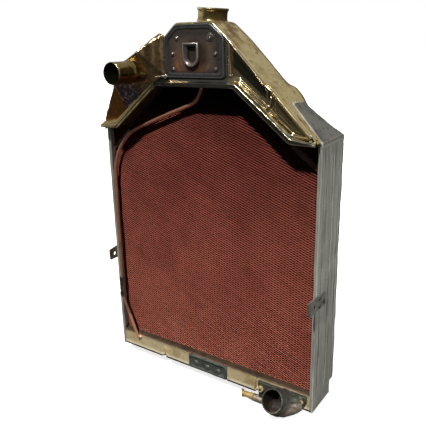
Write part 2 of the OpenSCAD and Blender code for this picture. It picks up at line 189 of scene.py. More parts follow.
def surface(name, base, stain, dark, metallic=1.0, rough=(0.2, 0.45), stain_scale=22, stain_from=0.48,
            dark_from=0.58, bump=0.15, bump_scale=260, stretch=(1, 1, 1), wear=None, seed=0.0, over=()):
    """Weathered metal or paint: stains, dark dirt, worn edges, uneven gloss, bumps and overlays."""
    mat = bpy.data.materials.new(name)
    mat.use_nodes = True
    tree = mat.node_tree
    shader = tree.nodes["Principled BSDF"]
    place = places(tree).place
    large = blotches(place, stain_scale, stretch=stretch, shift=seed)
    middle = blotches(place, stain_scale * 3.7, detail=6, stretch=stretch, shift=seed + 2)
    fine = blotches(place, bump_scale, detail=5, rough=0.7, shift=seed + 5)
    colour = mix(ramp(large, stain_from, stain_from + 0.14), rgb(*base), rgb(*stain))
    colour = mix(ramp(middle, dark_from, dark_from + 0.14, 0, 0.8), colour, rgb(*dark))
    speckle = ramp(fine, 0.3, 0.7, 0.82, 1.12)
    grey = make_node(tree, "ShaderNodeCombineColor", {0: speckle, 1: speckle, 2: speckle}).outputs[0]
    colour = mix(1.0, colour, grey, "MULTIPLY")
    if wear is not None:
        pointy = make_node(tree, "ShaderNodeNewGeometry").outputs["Pointiness"]
        colour = mix(ramp(pointy, 0.515, 0.56, 0, 0.85), colour, rgb(*wear))
    height = plus(fine, middle)
    bumps = make_node(tree, "ShaderNodeBump", {"Strength": bump, "Distance": 0.0006, "Height": height})
    tree.links.new(colour, shader.inputs["Base Color"])
    tree.links.new(ramp(middle, 0.35, 0.65, *rough), shader.inputs["Roughness"])
    tree.links.new(bumps.outputs[0], shader.inputs["Normal"])
    shader.inputs["Metallic"].default_value = metallic
    for layer in over:
        overlay(mat, *layer)
    return mat


def streaks(scale, shift, low, high, amount):
    """Upright streaks, as left by rain and wiping."""
    def where(at):
        lines = blotches(at.place, scale, detail=5, rough=0.65, stretch=(1, 1, 0.035), shift=shift)
        return ramp(lines, low, high, 0, amount)
    return where


def rear_dirt(at):
    return ramp(plus(at.y, times(blotches(at.place, 70), 0.02)), 0.0925, 0.0965, 0, 0.85)


POLISHED_WEAR = (250, 236, 200)
MATERIALS = {
    "core_red": surface("oxide_red_core", (220, 120, 98), (196, 100, 82), (158, 76, 64), metallic=0.0,
                        rough=(0.45, 0.7), stain_scale=7, stain_from=0.42, stretch=(1.2, 1, 0.8),
                        bump=0.3, bump_scale=420),
    "polished_brass": surface("polished_brass", (206, 186, 138), (170, 148, 104), (96, 80, 54),
                              rough=(0.1, 0.26), dark_from=0.62, bump=0.1, wear=POLISHED_WEAR),
    "satin_brass": surface("satin_brass", (236, 216, 174), (214, 190, 144), (150, 124, 86),
                           metallic=0.8, rough=(0.4, 0.6), dark_from=0.6, bump=0.25, seed=1.0),
    "dull_brass": surface("dull_brass", (216, 200, 146), (188, 168, 112), (120, 98, 62), rough=(0.34, 0.55),
                          stain_scale=16, dark_from=0.56, bump=0.25, seed=2.0, wear=(235, 216, 170)),
    "patched_brass": surface("patched_brass", (176, 150, 108), (142, 116, 88), (84, 70, 58),
                             rough=(0.18, 0.36), stain_scale=40, bump=0.5, bump_scale=160, seed=3.0,
                             wear=(190, 168, 126)),
    "stained_copper": surface("stained_sheet", (100, 82, 66), (78, 64, 54), (50, 42, 36), metallic=0.6,
                              rough=(0.45, 0.7), bump=0.4, seed=4.0),
    "tinned_steel": surface("tinned_sheet", (158, 158, 150), (138, 137, 129), (96, 93, 86), metallic=0.35,
                            rough=(0.36, 0.56), stain_scale=10, dark_from=0.6, stretch=(1, 1, 0.25),
                            bump=0.3, seed=5.0, wear=(206, 206, 198),
                            over=[(streaks(210, 1.0, 0.5, 0.62, 0.75), (100, 98, 91)),
                                  (streaks(320, 4.0, 0.56, 0.66, 0.6), (190, 190, 182)),
                                  (rear_dirt, (92, 80, 62), 0.7),
                                  (along("z", 0.34, 0.5, 0, 0.45), (112, 111, 104))]),
    "dark_bronze": surface("dark_bronze", (86, 70, 60), (72, 62, 58), (40, 36, 36), rough=(0.25, 0.48),
                           stain_scale=30, bump=0.35, seed=6.0, wear=(120, 116, 112)),
    "bright_steel": surface("worn_bright_metal", (150, 146, 138), (120, 116, 108), (72, 68, 62),
                            rough=(0.22, 0.42), bump=0.3, seed=7.0),
    "black_iron": surface("black_casting", (84, 90, 86), (66, 71, 68), (32, 34, 34), metallic=0.35,
                          rough=(0.4, 0.62), stain_scale=60, bump=0.8, bump_scale=240, seed=8.0,
                          wear=(104, 108, 102)),
    "grey_casting": surface("grey_casting", (96, 94, 86), (78, 76, 70), (44, 42, 38), metallic=0.7,
                            rough=(0.36, 0.6), stain_scale=45, bump=0.8, bump_scale=220, seed=9.0,
                            wear=(150, 146, 134)),
    "copper_pipe": surface("browned_copper", (178, 130, 106), (146, 102, 80), (104, 74, 58), metallic=0.7,
                           rough=(0.3, 0.5), stain_scale=40, bump=0.25, seed=10.0, wear=(222, 168, 140),
                           over=[(along("z", 0.078, 0.083, 0.9, 0), (244, 178, 148), 0.3)]),
}


# ------------------------------------------------------------------ mesh tools

def mesh_object(name, parts):
    """An object from (points in millimetres, faces) pairs, with its faces turned outwards."""
    verts, faces = [], []
    for more_verts, more_faces in parts:
        base = len(verts)
        verts += [Vector(v) * MM for v in more_verts]
        faces += [tuple(base + i for i in f) for f in more_faces]
    mesh = bpy.data.meshes.new(name)
    mesh.from_pydata(verts, [], faces)
    bm = bmesh.new()
    bm.from_mesh(mesh)
    bmesh.ops.recalc_face_normals(bm, faces=bm.faces)
    bm.to_mesh(mesh)
    bm.free()
    obj = bpy.data.objects.new(name, mesh)
    bpy.context.scene.collection.objects.link(obj)
    return obj


def smooth(piece, crease):
    piece.data.shade_smooth()
    piece.data.set_sharp_from_angle(angle=math.radians(crease))


def build(name, parts, slot, *nodes, finish=None, crease=38):
    """One piece on the radiator's body, in its slot's finish or its own; it replaces the CAD nodes named."""
    piece = mesh_object(name, parts)
    smooth(piece, crease)
    piece.data.materials.append(finish or MATERIALS[slot])
    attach(piece, "radiator")
    if nodes:
        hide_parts(*nodes)
    return piece


def apply_modifiers(piece, crease):
    """Replaces a piece's mesh by what its modifiers make of it."""
    bpy.context.view_layer.update()
    done = piece.evaluated_get(bpy.context.evaluated_depsgraph_get())
    mesh = bpy.data.meshes.new_from_object(done)
    piece.modifiers.clear()
    piece.data = mesh
    smooth(piece, crease)


def add_cast_skin(piece, voxel, passes):
    """Modifiers that make one skin of even small faces, with its edges rounded over."""
    voxels = piece.modifiers.new("skin", "REMESH")
    voxels.mode = "VOXEL"
    voxels.voxel_size = voxel * MM
    voxels.use_smooth_shade = True
    relax = piece.modifiers.new("relax", "SMOOTH")
    relax.factor = 0.5
    relax.iterations = passes


def soften(piece, voxel, passes):
    add_cast_skin(piece, voxel, passes)
    apply_modifiers(piece, 60)


def push(piece, amount_at):
    """Moves each point of a piece along its normal by amount_at(point in millimetres) millimetres."""
    points = piece.data.vertices
    moves = [v.normal * amount_at(v.co / MM) * MM for v in points]
    for v, move in zip(points, moves):
        v.co += move


def carve(piece, part, crease):
    """Cuts a closed body out of a piece."""
    tool = mesh_object("tool", [part])
    cut = piece.modifiers.new("cut", "BOOLEAN")
    cut.operation = "DIFFERENCE"
    cut.solver = "EXACT"
    cut.object = tool
    apply_modifiers(piece, crease)
    bpy.data.objects.remove(tool)


def slab(rows, shift):
    """Closed sheet between a grid of points and the same grid moved by shift, or by shift(point)."""
    move = shift if callable(shift) else lambda p: Vector(shift)
    n, m = len(rows), len(rows[0])
    outer = [Vector(p) for row in rows for p in row]
    verts = outer + [p + move(p) for p in outer]
    half = n * m
    faces = []
    for i in range(n - 1):
        for j in range(m - 1):
            a, b, c, d = i * m + j, i * m + j + 1, (i + 1) * m + j + 1, (i + 1) * m + j
            faces += [(a, b, c, d), (d + half, c + half, b + half, a + half)]
    rim = list(range(m)) + [i * m + m - 1 for i in range(1, n)]
    rim += [(n - 1) * m + j for j in range(m - 2, -1, -1)] + [i * m for i in range(n - 2, 0, -1)]
    faces += [(b, a, a + half, b + half) for a, b in zip(rim, rim[1:] + rim[:1])]
    return verts, faces


def loft(rings, ends="filled"):
    """Skin over closed rings with equal numbers of points. Its ends are filled, joined or left open."""
    n = len(rings[0])
    verts = [Vector(p) for ring in rings for p in ring]
    faces = []
    for i in range(len(rings) - (ends != "joined")):
        a0, b0 = i * n, (i + 1) % len(rings) * n
        for j in range(n):
            k = (j + 1) % n
            faces.append((a0 + j, a0 + k, b0 + k, b0 + j))
    if ends == "filled":
        faces += [tuple(range(n - 1, -1, -1)), tuple((len(rings) - 1) * n + j for j in range(n))]
    return verts, faces


def spokes(axis, steps):
    """A direction as a unit vector, and the unit vectors all round it."""
    z = Vector(axis).normalized()
    x = z.orthogonal().normalized()
    y = z.cross(x)
    angles = [2 * math.pi * i / steps for i in range(steps)]
    return z, [x * math.cos(a) + y * math.sin(a) for a in angles]


def turned(profile, centre, axis, steps=48, uneven=0.0, seed=0.0):
    """Solid of revolution from a closed loop of (radius, height) points about an axis."""
    z, outs = spokes(axis, steps)
    rings = []
    for out in outs:
        ring = [Vector(centre) + z * h + out * r for r, h in profile]
        rings.append([p + out * wobble(p, 14, uneven, seed) for p in ring])
    return loft(rings, "joined")


def dome(profile, centre, uneven, seed, steps=32):
    """Solid turned about +Y from an open (radius, height) line that starts and ends on the axis."""
    z, outs = spokes((0, 1, 0), steps)
    rings = []
    for r, h in profile[1:-1]:
        ring = [Vector(centre) + z * h + out * r for out in outs]
        rings.append([p + out * wobble(p, 6, uneven, seed) for p, out in zip(ring, outs)])
    verts, faces = loft(rings, "open")
    count = len(verts)
    verts += [Vector(centre) + z * profile[end][1] for end in (0, -1)]
    for i in range(steps):
        k = (i + 1) % steps
        faces += [(count, k, i), (count + 1, count - steps + i, count - steps + k)]
    return verts, faces


def smooth_path(points, rounds=3):
    """Corner cutting: each round replaces a corner by two points, and the ends stay."""
    line = [Vector(p) for p in points]
    for _ in range(rounds):
        cut = [line[0]]
        for a, b in zip(line, line[1:]):
            cut += [lerp(a, b, 0.25), lerp(a, b, 0.75)]
        line = cut + [line[-1]]
    return line


def spaced(points, step):
    """The same line with a point about every step millimetres, corners kept."""
    line = [Vector(points[0])]
    for a, b in zip(points, points[1:]):
        a, b = Vector(a), Vector(b)
        parts = max(1, round((b - a).length / step))
        line += [lerp(a, b, i / parts) for i in range(1, parts + 1)]
    return line


def sweep(path, radius, sides, uneven, seed, flat=1.0):
    """Round bar along a line, flattened in Y; radius may be a function of the share of the way."""
    size = radius if callable(radius) else lambda t: radius
    rings = []
    normal = None
    for i, p in enumerate(path):
        z = (path[min(i + 1, len(path) - 1)] - path[max(i - 1, 0)]).normalized()
        normal = z.orthogonal().normalized() if normal is None else (normal - z * normal.dot(z)).normalized()
        side = z.cross(normal)
        ring = []
        for k in range(sides):
            a = 2 * math.pi * k / sides
            out = normal * math.cos(a) + side * math.sin(a)
            q = p + Vector((out.x, out.y * flat, out.z)) * size(i / (len(path) - 1))
            ring.append(q + out * wobble(q, 7, uneven, seed))
        rings.append(ring)
    return loft(rings)


def bar(points, step, *settings, **more):
    """A sweep along a rounded line."""
    return sweep(spaced(smooth_path(points), step), *settings, **more)


def mitres(line):
    """Unit-offset vector, pointing down, at each corner of a left-to-right outline in x and z."""
    found = []
    for i in range(len(line)):
        normals = []
        for a, b in ((i - 1, i), (i, i + 1)):
            if a >= 0 and b < len(line):
                d = (line[b] - line[a]).normalized()
                normals.append(Vector((d.y, -d.x)))
        n = sum(normals, Vector((0, 0)))
        found.append(n / max(n.dot(normals[0]), 0.3))
    return found


def relaxed(rows, passes):
    """Rows of points smoothed along each row, ends kept, so that sheet corners get a bending radius."""
    for _ in range(passes):
        for row in rows:
            old = [p.copy() for p in row]
            for j in range(1, len(row) - 1):
                row[j] = (old[j - 1] + old[j] * 2 + old[j + 1]) / 4
    return rows


def mirrored(left, right):
    """One grid over both halves, each given from the centre plane to the right."""
    return [[Vector((-p.x, p.y, p.z)) for p in reversed(a[1:])] + b for a, b in zip(left, right)]


# ------------------------------------------------------------------ honeycomb core

CORE_LOW, CORE_HIGH = box("core")
CORE_W = CORE_HIGH.x - CORE_LOW.x
CELL_PITCH = 12.174
CELL_HALF_H = 2.3
CELL_W = CELL_PITCH * CELL_HALF_H / math.hypot(CELL_PITCH / 2, CELL_HALF_H)
RIDGE_WALL = 0.34
CROSS_WALL = 0.06
LIP_SET_BACK = 0.9
MOUTH_ROUND = 0.25
CORE_BANDS = 3
GABLE_FLAT_X = 82.0
GABLE_KNEE_X = 185.5
LIP_LOW_Z = box("header_lip")[0].z


def under_gable(x, flat_z, knee_z):
    """Height at x of a line that is flat in the middle and slopes down to the gable's knees."""
    return lerp(flat_z, knee_z, clamp((abs(x) - GABLE_FLAT_X) / (GABLE_KNEE_X - GABLE_FLAT_X)))


def core_top(x):
    return under_gable(x, CORE_HIGH.z, LIP_LOW_Z + 3.0)


def drift(x, z):
    """Slow unevenness of the cells in x and z, except along the block's straight edges."""
    if not (CORE_LOW.x + 6 < x < CORE_HIGH.x - 6 and z > CORE_LOW.z + 5):
        return 0, 0
    return (noise.noise(Vector((x / 60, z / 45, 1.3))) * 0.9,
            noise.noise(Vector((x / 45, z / 60, 7.1))) * 0.6)


def cell_ring(cx, cz, reach, across, flat, inset):
    """Six corners of a diamond cell, with its reach along and across the down-right ridges."""
    ring = []
    for s, t, shift in ((-reach, across, -flat), (-reach, across, flat), (reach, across, 0),
                        (reach, -across, flat), (reach, -across, -flat), (-reach, -across, 0)):
        x = clamp(cx + (s + t) * CELL_PITCH / 2 + shift, CORE_LOW.x + inset, CORE_HIGH.x - inset)
        z = min(max(cz + (t - s) * CELL_HALF_H, CORE_LOW.z + inset), core_top(x) - inset)
        ring.append((x, z))
    return ring


def honeycomb(rows):
    """Open tubes through the block, with their mouths set back inside bright solder-and-paint lips."""
    verts, faces, shared, edges = [], [], {}, {}

    def corner(x, z):
        key = (round(x * 50), round(z * 50))
        if key not in shared:
            shared[key] = len(verts)
            dx, dz = drift(x, z)
            dy = noise.noise(Vector((x / 4, z / 3, 2.2))) * 0.25
            verts.append(Vector((x + dx, CORE_LOW.y + MOUTH_ROUND + dy, z + dz)))
            verts.append(Vector((x + dx, CORE_HIGH.y - MOUTH_ROUND - dy, z + dz)))
        return shared[key]

    columns = round(CORE_W / CELL_PITCH)
    for row in rows:
        cz = CORE_LOW.z + row * CELL_HALF_H
        for column in range(columns + 1 - row % 2):
            cx = CORE_LOW.x + (column + 0.5 * (row % 2)) * CORE_W / columns
            if cz > core_top(cx) - 1.4:
                continue
            outer = [corner(x, z) for x, z in cell_ring(cx, cz, 0.5, 0.5, 0, 0)]
            ridge = cz + cx * 2 * CELL_HALF_H / CELL_PITCH
            lean = noise.noise(Vector((ridge * 1.7, cx / 60, 0.5))) * 0.5
            lean += noise.noise(Vector((cx / 5, cz / 3, 4.1))) * 0.4
            across = 0.5 - RIDGE_WALL / CELL_W * clamp(1 - 0.9 * lean, 0.5, 1.6)
            dx, dz = drift(cx, cz)
            base = len(verts)
            for y in (CORE_LOW.y + LIP_SET_BACK, CORE_HIGH.y - LIP_SET_BACK):
                for x, z in cell_ring(cx, cz, 0.5 - CROSS_WALL / CELL_W, across, 0.25, 0.5):
                    verts.append(Vector((x + dx, y, z + dz)))
            for i in range(6):
                k = (i + 1) % 6
                a, b = outer[i], outer[k]
                front_a, front_b, back_a, back_b = base + i, base + k, base + 6 + i, base + 6 + k
                faces.append((front_a, front_b, back_b, back_a))
                if a == b:
                    faces += [(a, front_a, front_b), (a + 1, back_b, back_a)]
                    continue
                faces += [(a, front_a, front_b, b), (a + 1, b + 1, back_b, back_a)]
                edge = (min(a, b), max(a, b))
                edges[edge] = None if edge in edges else (a, b)
    faces += [(a, b, b + 1, a + 1) for a, b in (e for e in edges.values() if e)]
    return verts, faces


# Painted shade: dark inside the cells, between their set-back mouths at the front and the back.
def shaded_cell_insides(at):
    front, back = (CORE_LOW.y + LIP_SET_BACK) * MM, (CORE_HIGH.y - LIP_SET_BACK) * MM
    return times(ramp(at.y, front - 0.2 * MM, front + 0.35 * MM),
                 ramp(at.y, back - 0.35 * MM, back + 0.2 * MM, 1, 0))


def make_core():
    """Red paint at the cells' mouths, duller above and browner below, with painted shade inside the cells and
    a painted shadow at the top.
    """
    for layer in ((along("z", 0.2, 0.56, 0, 0.55), (184, 94, 88)),
                  (along("z", 0.08, 0.4, 0.5, 0), (178, 96, 68)),
                  # Painted shadow: neutral dark near the core's top, where the header's shadow falls.
                  (along("z", 0.524, 0.546, 0, 0.85), (62, 56, 50)),
                  (shaded_cell_insides, (24, 3, 3), 0.95)):
        overlay(MATERIALS["core_red"], *layer)
    row_count = int((CORE_HIGH.z - CORE_LOW.z) / CELL_HALF_H) + 1
    for band in range(CORE_BANDS):
        rows = range(row_count * band // CORE_BANDS, row_count * (band + 1) // CORE_BANDS)
        nodes = () if band else ("core",)
        build("core_cells_%d" % (band + 1), [honeycomb(rows)], "core_red", *nodes, crease=25)


# ------------------------------------------------------------------ header tank

PEAK_Z = box("header_top_sheet")[1].z
FACE_Y = box("header_engine_sheet")[0].y
BACK_Y = box("header_front_sheet")[1].y
PANEL_Y = FACE_Y + 1.5
SHEET = 1.6
PEAK_HALF_W = 38.0
BOX_HALF_W = 73.0
ARM_END_X = 224.0
ROOF_END_X = 232.0
# Each arm's top line slopes at 45 degrees, so x + z is constant along it; it steps out at the joggle.
RIDGE_SUM = 729.5
OUTER_RIDGE_SUM = 733.0
JOGGLE = (141.5, 153.5)
NECK_FOOT = Vector((11.0, 27.5, PEAK_Z))
NECK_TILT = math.radians(5.0)
NECK_AXIS = Vector((math.sin(NECK_TILT), 0, math.cos(NECK_TILT)))
NECK_BORE = 24.0

# Right half of the header's outline, station by station.
TOP_CORNERS = [Vector((x, PEAK_Z)) for x in (0, PEAK_HALF_W)]
TOP_CORNERS += [Vector((x, RIDGE_SUM - x)) for x in (BOX_HALF_W, 105, JOGGLE[0])]
TOP_CORNERS += [Vector((x, OUTER_RIDGE_SUM - x)) for x in (JOGGLE[1], 208, ARM_END_X)]
LIP_CORNERS = [Vector((x, under_gable(x, CORE_HIGH.z - 3.0, LIP_LOW_Z)))
               for x in (0, 52, GABLE_FLAT_X, 110, 140, 151, GABLE_KNEE_X, 231)]


def stations(step):
    """(top point, top offset, lip point, lip offset) along the right half of the header."""
    top_offsets, lip_offsets = mitres(TOP_CORNERS), mitres(LIP_CORNERS)
    out = []
    for i in range(len(TOP_CORNERS) - 1):
        fine = 4 if TOP_CORNERS[i].x == JOGGLE[0] else 1
        parts = max(2, round((TOP_CORNERS[i + 1] - TOP_CORNERS[i]).length / step * fine))
        for k in range(parts + (i == len(TOP_CORNERS) - 2)):
            top, down, lip, up = (lerp(line[i], line[i + 1], k / parts)
                                  for line in (TOP_CORNERS, top_offsets, LIP_CORNERS, lip_offsets))
            out.append((top, down, lip, -up))
    return out


# Cross-sections of the header's face: distance in from the edge, and how far the sheet stands out
# from the recessed panel. The ridge runs along the top line, the beads along the lip line. In the middle
# the beads flatten to a ledge, and far out on the right arm they become a wide step.
RIDGE = [(0.0, 0.4), (0.5, 2.2), (1.3, 3.7), (2.4, 4.4), (3.6, 4.0), (4.6, 2.6), (5.5, 1.2), (6.6, 0.35),
         (8.2, 0.0)]
BEADS = [(22.0, 0.0), (20.5, 0.0), (19.2, 0.15), (18.6, 0.6), (18.2, 1.6), (17.9, 2.8), (17.4, 3.5),
         (16.6, 3.7), (15.6, 3.6), (14.8, 3.7), (14.3, 4.4), (14.0, 5.8), (13.7, 7.2), (13.2, 8.0),
         (12.3, 8.2), (11.0, 8.2), (9.6, 8.2), (8.2, 8.2)]
WIDE_STEP = [0.0, 0.0, 0.05, 0.1, 0.15, 0.2, 0.3, 0.5, 1.3, 2.4, 3.2, 3.8, 4.3, 5.1, 6.4, 7.8, 8.5, 8.6]
WIDE_FROM, WIDE_TO = 118.0, 160.0
BAND = [(7.2, 9.0), (5.6, 9.4), (4.0, 9.5), (2.4, 9.6), (1.2, 9.8), (0.4, 9.5), (0.0, 8.8)]
LEDGE = [(22.0, 0.0), (21.0, 0.1), (20.0, 0.25), (19.0, 0.45), (18.0, 0.7), (17.0, 1.0), (16.0, 1.4),
         (15.0, 1.9), (14.0, 2.4), (13.2, 2.9), (12.4, 3.4), (11.6, 3.9), (10.8, 4.5), (10.0, 5.2),
         (9.2, 6.1), (8.4, 7.1), (7.6, 8.2), (6.4, 9.2)]
PANEL_PARTS = 8
# Upright flutes where the right arm steps out: centre, width and depth.
FLUTES = ((140.5, 1.8, -2.2), (144.0, 1.5, 2.6), (147.0, 1.4, -1.6), (150.4, 1.5, 4.2), (153.6, 1.5, -2.6))


def joggle_flute(x, t):
    """Depth of the flutes at x, and at share t of the way down the panel."""
    fade = math.sin(math.pi * clamp(0.12 + t * 0.8)) ** 0.35
    return fade * sum(depth * hill(x, centre, width) for centre, width, depth in FLUTES)


def face_rows(side):
    """Grid of the header's face for one side (1 right, -1 left), from the top line to the lip."""
    columns = []
    for top, down, lip, up in stations(3.0):
        arm = clamp((top.x - 66) / 14)
        wide = clamp((top.x - WIDE_FROM) / (WIDE_TO - WIDE_FROM)) * (side > 0)
        squeeze = min(1.0, 0.92 * (top - lip).length / 30.5)
        column = []
        for d, out in RIDGE:
            p = top + down * d * squeeze
            column.append((p, out * (0.55 + 0.45 * arm) * (1 if side > 0 else 0.35)))
        start, end = column[-1][0], lip + up * BEADS[0][0] * squeeze
        for k in range(1, PANEL_PARTS):
            t = k / PANEL_PARTS
            p = lerp(start, end, t)
            flute = joggle_flute(p.x, t) if side > 0 else 0
            swell = math.sin(math.pi * t) * 0.8 * arm
            column.append((p, swell + flute + wobble((p.x, 0, p.y), 26, 0.7, 4.0)))
        for (d, out), step, (d0, out0) in zip(BEADS, WIDE_STEP, LEDGE):
            column.append((lip + up * lerp(d0, d, arm) * squeeze, lerp(out0, lerp(out, step, wide), arm)))
        for d, out in BAND:
            column.append((lip + up * d * squeeze * lerp(0.8, 1.0, arm), out))
        columns.append([Vector((p.x, PANEL_Y - out, p.y)) for p, out in column])
    return relaxed([list(row) for row in zip(*columns)], 3)


def tinned_middle(at):
    """Where the face's foot is tinned: between the arms, up to the plate."""
    ragged = plus(at.x, times(blotches(at.place, 60), 0.012))
    between = times(ramp(ragged, -0.088, -0.078), ramp(ragged, 0.074, 0.09, 1, 0))
    return times(between, ramp(at.z, 0.597, 0.601, 1, 0))


def sloping(at, slope):
    """Height above a line that rises by slope for each metre of x."""
    inputs = {0: at.x, 1: -slope, 2: at.z}
    return make_node(at.x, "ShaderNodeMath", inputs, operation="MULTIPLY_ADD").outputs[0]


def left_groove_shade(at):
    """Painted shade: dark lines along the left arm's lip, in the grooves between its beads."""
    level = sloping(at, 0.81)
    upper = times(ramp(level, 0.6515, 0.6525), ramp(level, 0.6550, 0.6560, 1, 0))
    lower = times(ramp(level, 0.6455, 0.6460), ramp(level, 0.6475, 0.6485, 1, 0))
    return times(most(upper, lower), ramp(at.x, -0.092, -0.086, 0.9, 0))


def painted_panel_reflection(at):
    """Painted reflection: darker colour on the right arm's panel between the ridge and the beads, for the
    dark surroundings that it mirrors.
    """
    band = times(ramp(sloping(at, -0.81), 0.6765, 0.6795), ramp(plus(at.x, at.z), 0.7195, 0.723, 1, 0))
    return times(band, ramp(at.x, 0.074, 0.08), ramp(at.x, 0.139, 0.150, 0.9, 0.5))


LEFT_ARM = along("x", -0.1, -0.09, 0.55, 0)


def header_finish(name, base, stain, dark, rough, seed, *more):
    """Brass or tarnish with the header's own overlays, and more of them where they are given."""
    layers = [(LEFT_ARM, (198, 180, 120), 0.3), (left_groove_shade, (60, 50, 30), 0.4),
              (tinned_middle, (104, 103, 97), 0.26), *more]
    return surface(name, base, stain, dark, rough=rough, dark_from=0.62, bump=0.12, wear=POLISHED_WEAR,
                   seed=seed, over=layers)


def make_header_face():
    """The face sheet, the lip's band and folded edge below it, and a bead round the right arm's panel."""
    rows = mirrored(face_rows(-1), face_rows(1))
    split = len(RIDGE) + PANEL_PARTS - 1 + len(BEADS)
    build("header_face", [slab(rows[:split], (0, SHEET * 0.8, 0))], "polished_brass", "header_engine_sheet",
          crease=50,
          finish=header_finish("face_brass", (210, 190, 142), (172, 150, 106), (104, 88, 62),
                               (0.08, 0.17), 25.0, (painted_panel_reflection, (66, 70, 66), 0.16)))
    band = [[p + Vector((0, wobble(p, 9, 0.5, 2.0), wobble(p, 11, 0.35, 6.0))) for p in row]
            for row in rows[split - 1:]]
    edge = band[-2:] + [[p + Vector(fold) for p in band[-1]] for fold in ((0, 3.0, 0.6), (0, 8.5, 1.2))]
    build("header_lip_band", [slab(band[:-1], (0, 1.0, 0.5))], "polished_brass", "header_lip", crease=60,
          finish=header_finish("tarnished_band", (112, 112, 102), (92, 92, 84), (60, 60, 56),
                               (0.14, 0.3), 26.0))
    build("header_lip_edge", [slab(edge, (0, 1.0, 0.5))], "stained_copper", crease=60,
          finish=header_finish("copper_edge", (170, 136, 108), (136, 112, 92), (90, 76, 64),
                               (0.24, 0.4), 27.0, (LEFT_ARM, (74, 72, 50), 0.5)))
    bead = [(x, y, OUTER_RIDGE_SUM - 3.4 - x) for x, y in ((154.5, -17.0), (186, -18.0), (213, -18.0))]
    bead += [(221, -18.0, 508.0), (215, -17.6, 507.0), (188, -17.4, 509.0)]
    build("header_arm_bead", [bar(bead, 2.5, 2.4, 18, 0.2, 3.0)], "polished_brass", crease=60,
          finish=surface("bright_bead", (250, 228, 170), (236, 210, 150), (170, 140, 90), rough=(0.16, 0.28),
                         bump=0.1, seed=42.0))


def roof_stains(at):
    """Brown stains round the neck and across the fold where the arm steps out."""
    by_fold = times(ramp(at.x, 0.128, 0.142), ramp(at.x, 0.15, 0.166, 0.8, 0))
    return times(ramp(blotches(at.place, 34, detail=5, shift=6.0), 0.46, 0.6),
                 most(ramp(at.x, 0.06, 0.105, 0.85, 0), by_fold))


def make_top_sheet():
    """The header's roof, folded over the face along its front edge and over the back along its rear edge."""
    corners = [Vector((p.x, 0, p.y)) for p in TOP_CORNERS]
    corners.append(Vector((ROOF_END_X, 0, OUTER_RIDGE_SUM - ROOF_END_X)))
    line, = relaxed([spaced(corners, 3.0)], 4)
    across = 22
    rows = []
    for i in range(across + 1):
        t = i / across
        y = lerp(FACE_Y, BACK_Y, t)
        edge = min(i, across - i)
        row = []
        for p in line:
            lift = 0.9 * math.sin(math.pi * t) + wobble((p.x, y, 0), 30, 0.9, 1.0)
            hump = 2.2 * hill(p.x, 146, 7) * math.sin(math.pi * min(1, t + 0.25))
            hump += 6.0 * math.exp(-(abs(p.x - 166) / 13) ** 3) * t ** 1.5
            drop = (0.9, 0.25, 0.0)[min(edge, 2)] + 2.0 * hill(p.x, 186, 8) * t ** 4
            row.append(Vector((p.x, y, p.z + lift * min(edge, 3) / 3 + hump - drop)))
        rows.append(row)
    roof = surface("roof_brass", (220, 204, 154), (196, 176, 124), (128, 102, 66), rough=(0.34, 0.55),
                   stain_scale=18, dark_from=0.55, bump=0.3, seed=28.0, wear=(240, 224, 180),
                   over=[(along("y", 0.046, 0.052, 0, 0.8), (70, 60, 44), 0.5),
                         (roof_stains, (122, 92, 52), 0.5)])
    piece = build("header_roof", [slab(mirrored(rows, rows), (0, 0, -SHEET))], "dull_brass",
                  "header_top_sheet", crease=50, finish=roof)
    bore = [(0.01, -12), (NECK_BORE, -12), (NECK_BORE, 12), (0.01, 12)]
    carve(piece, turned(bore, NECK_FOOT, NECK_AXIS), 50)


def make_back_sheet():
    """Plain sheet on the car's front side of the header, with a soldered seam at its foot."""
    columns = []
    for top, down, lip, _ in stations(5.0):
        column = []
        for k in range(15):
            p = lerp(top + down, lip + Vector((0, 5.0)), k / 14)
            y = BACK_Y - 0.6 + 1.6 * math.sin(math.pi * k / 14) ** 0.5 + wobble((p.x, 60, p.y), 34, 0.9, 9.0)
            column.append(Vector((p.x, y - 1.2 * (k in (0, 14)), p.y)))
        columns.append(column)
    half = relaxed([list(row) for row in zip(*columns)], 2)
    build("header_back", [slab(mirrored(half, half), (0, -SHEET, 0))], "dull_brass", "header_front_sheet",
          crease=50)


# ------------------------------------------------------------------ outline tools for pressed plates

def inset(loop, d):
    """A closed outline in x and z, given anticlockwise, moved inwards by d with mitred corners."""
    out = []
    for i, p in enumerate(loop):
        ways = [(p - loop[i - 1]).normalized(), (loop[(i + 1) % len(loop)] - p).normalized()]
        first, second = (Vector((-way.y, way.x)) for way in ways)
        n = first + second
        out.append(p + n / max(n.dot(first), 0.3) * d)
    return out


def rounded(loop, r, counts, steps=6):
    """Corners replaced by curves of reach r, with a given count of spans along each straight side."""
    out = []
    for i, p in enumerate(loop):
        a, b = loop[i - 1], loop[(i + 1) % len(loop)]
        p0, p1 = p + (a - p).normalized() * r, p + (b - p).normalized() * r
        for k in range(steps + 1):
            t = k / steps
            out.append(p0 * (1 - t) ** 2 + p * 2 * t * (1 - t) + p1 * t * t)
        q = b + (p - b).normalized() * r
        out += [lerp(p1, q, k / counts[i]) for k in range(1, counts[i])]
    return out


def pan(outline, profile, r, uneven, seed):
    """Pressed plate: loops of an outline stepped inwards, each (inset, y), and filled at both ends."""
    span = 8.0
    counts = [max(1, round((b - a).length / span)) for a, b in zip(outline, outline[1:] + outline[:1])]
    rings = []
    for d, y in profile:
        ring = [Vector((p.x, y, p.y)) for p in rounded(inset(outline, d), r, counts)]
        rings.append([q + Vector((wobble(q, 9, uneven, seed), wobble(q, 13, uneven, seed + 3), 0))
                      for q in ring])
    return loft(rings)


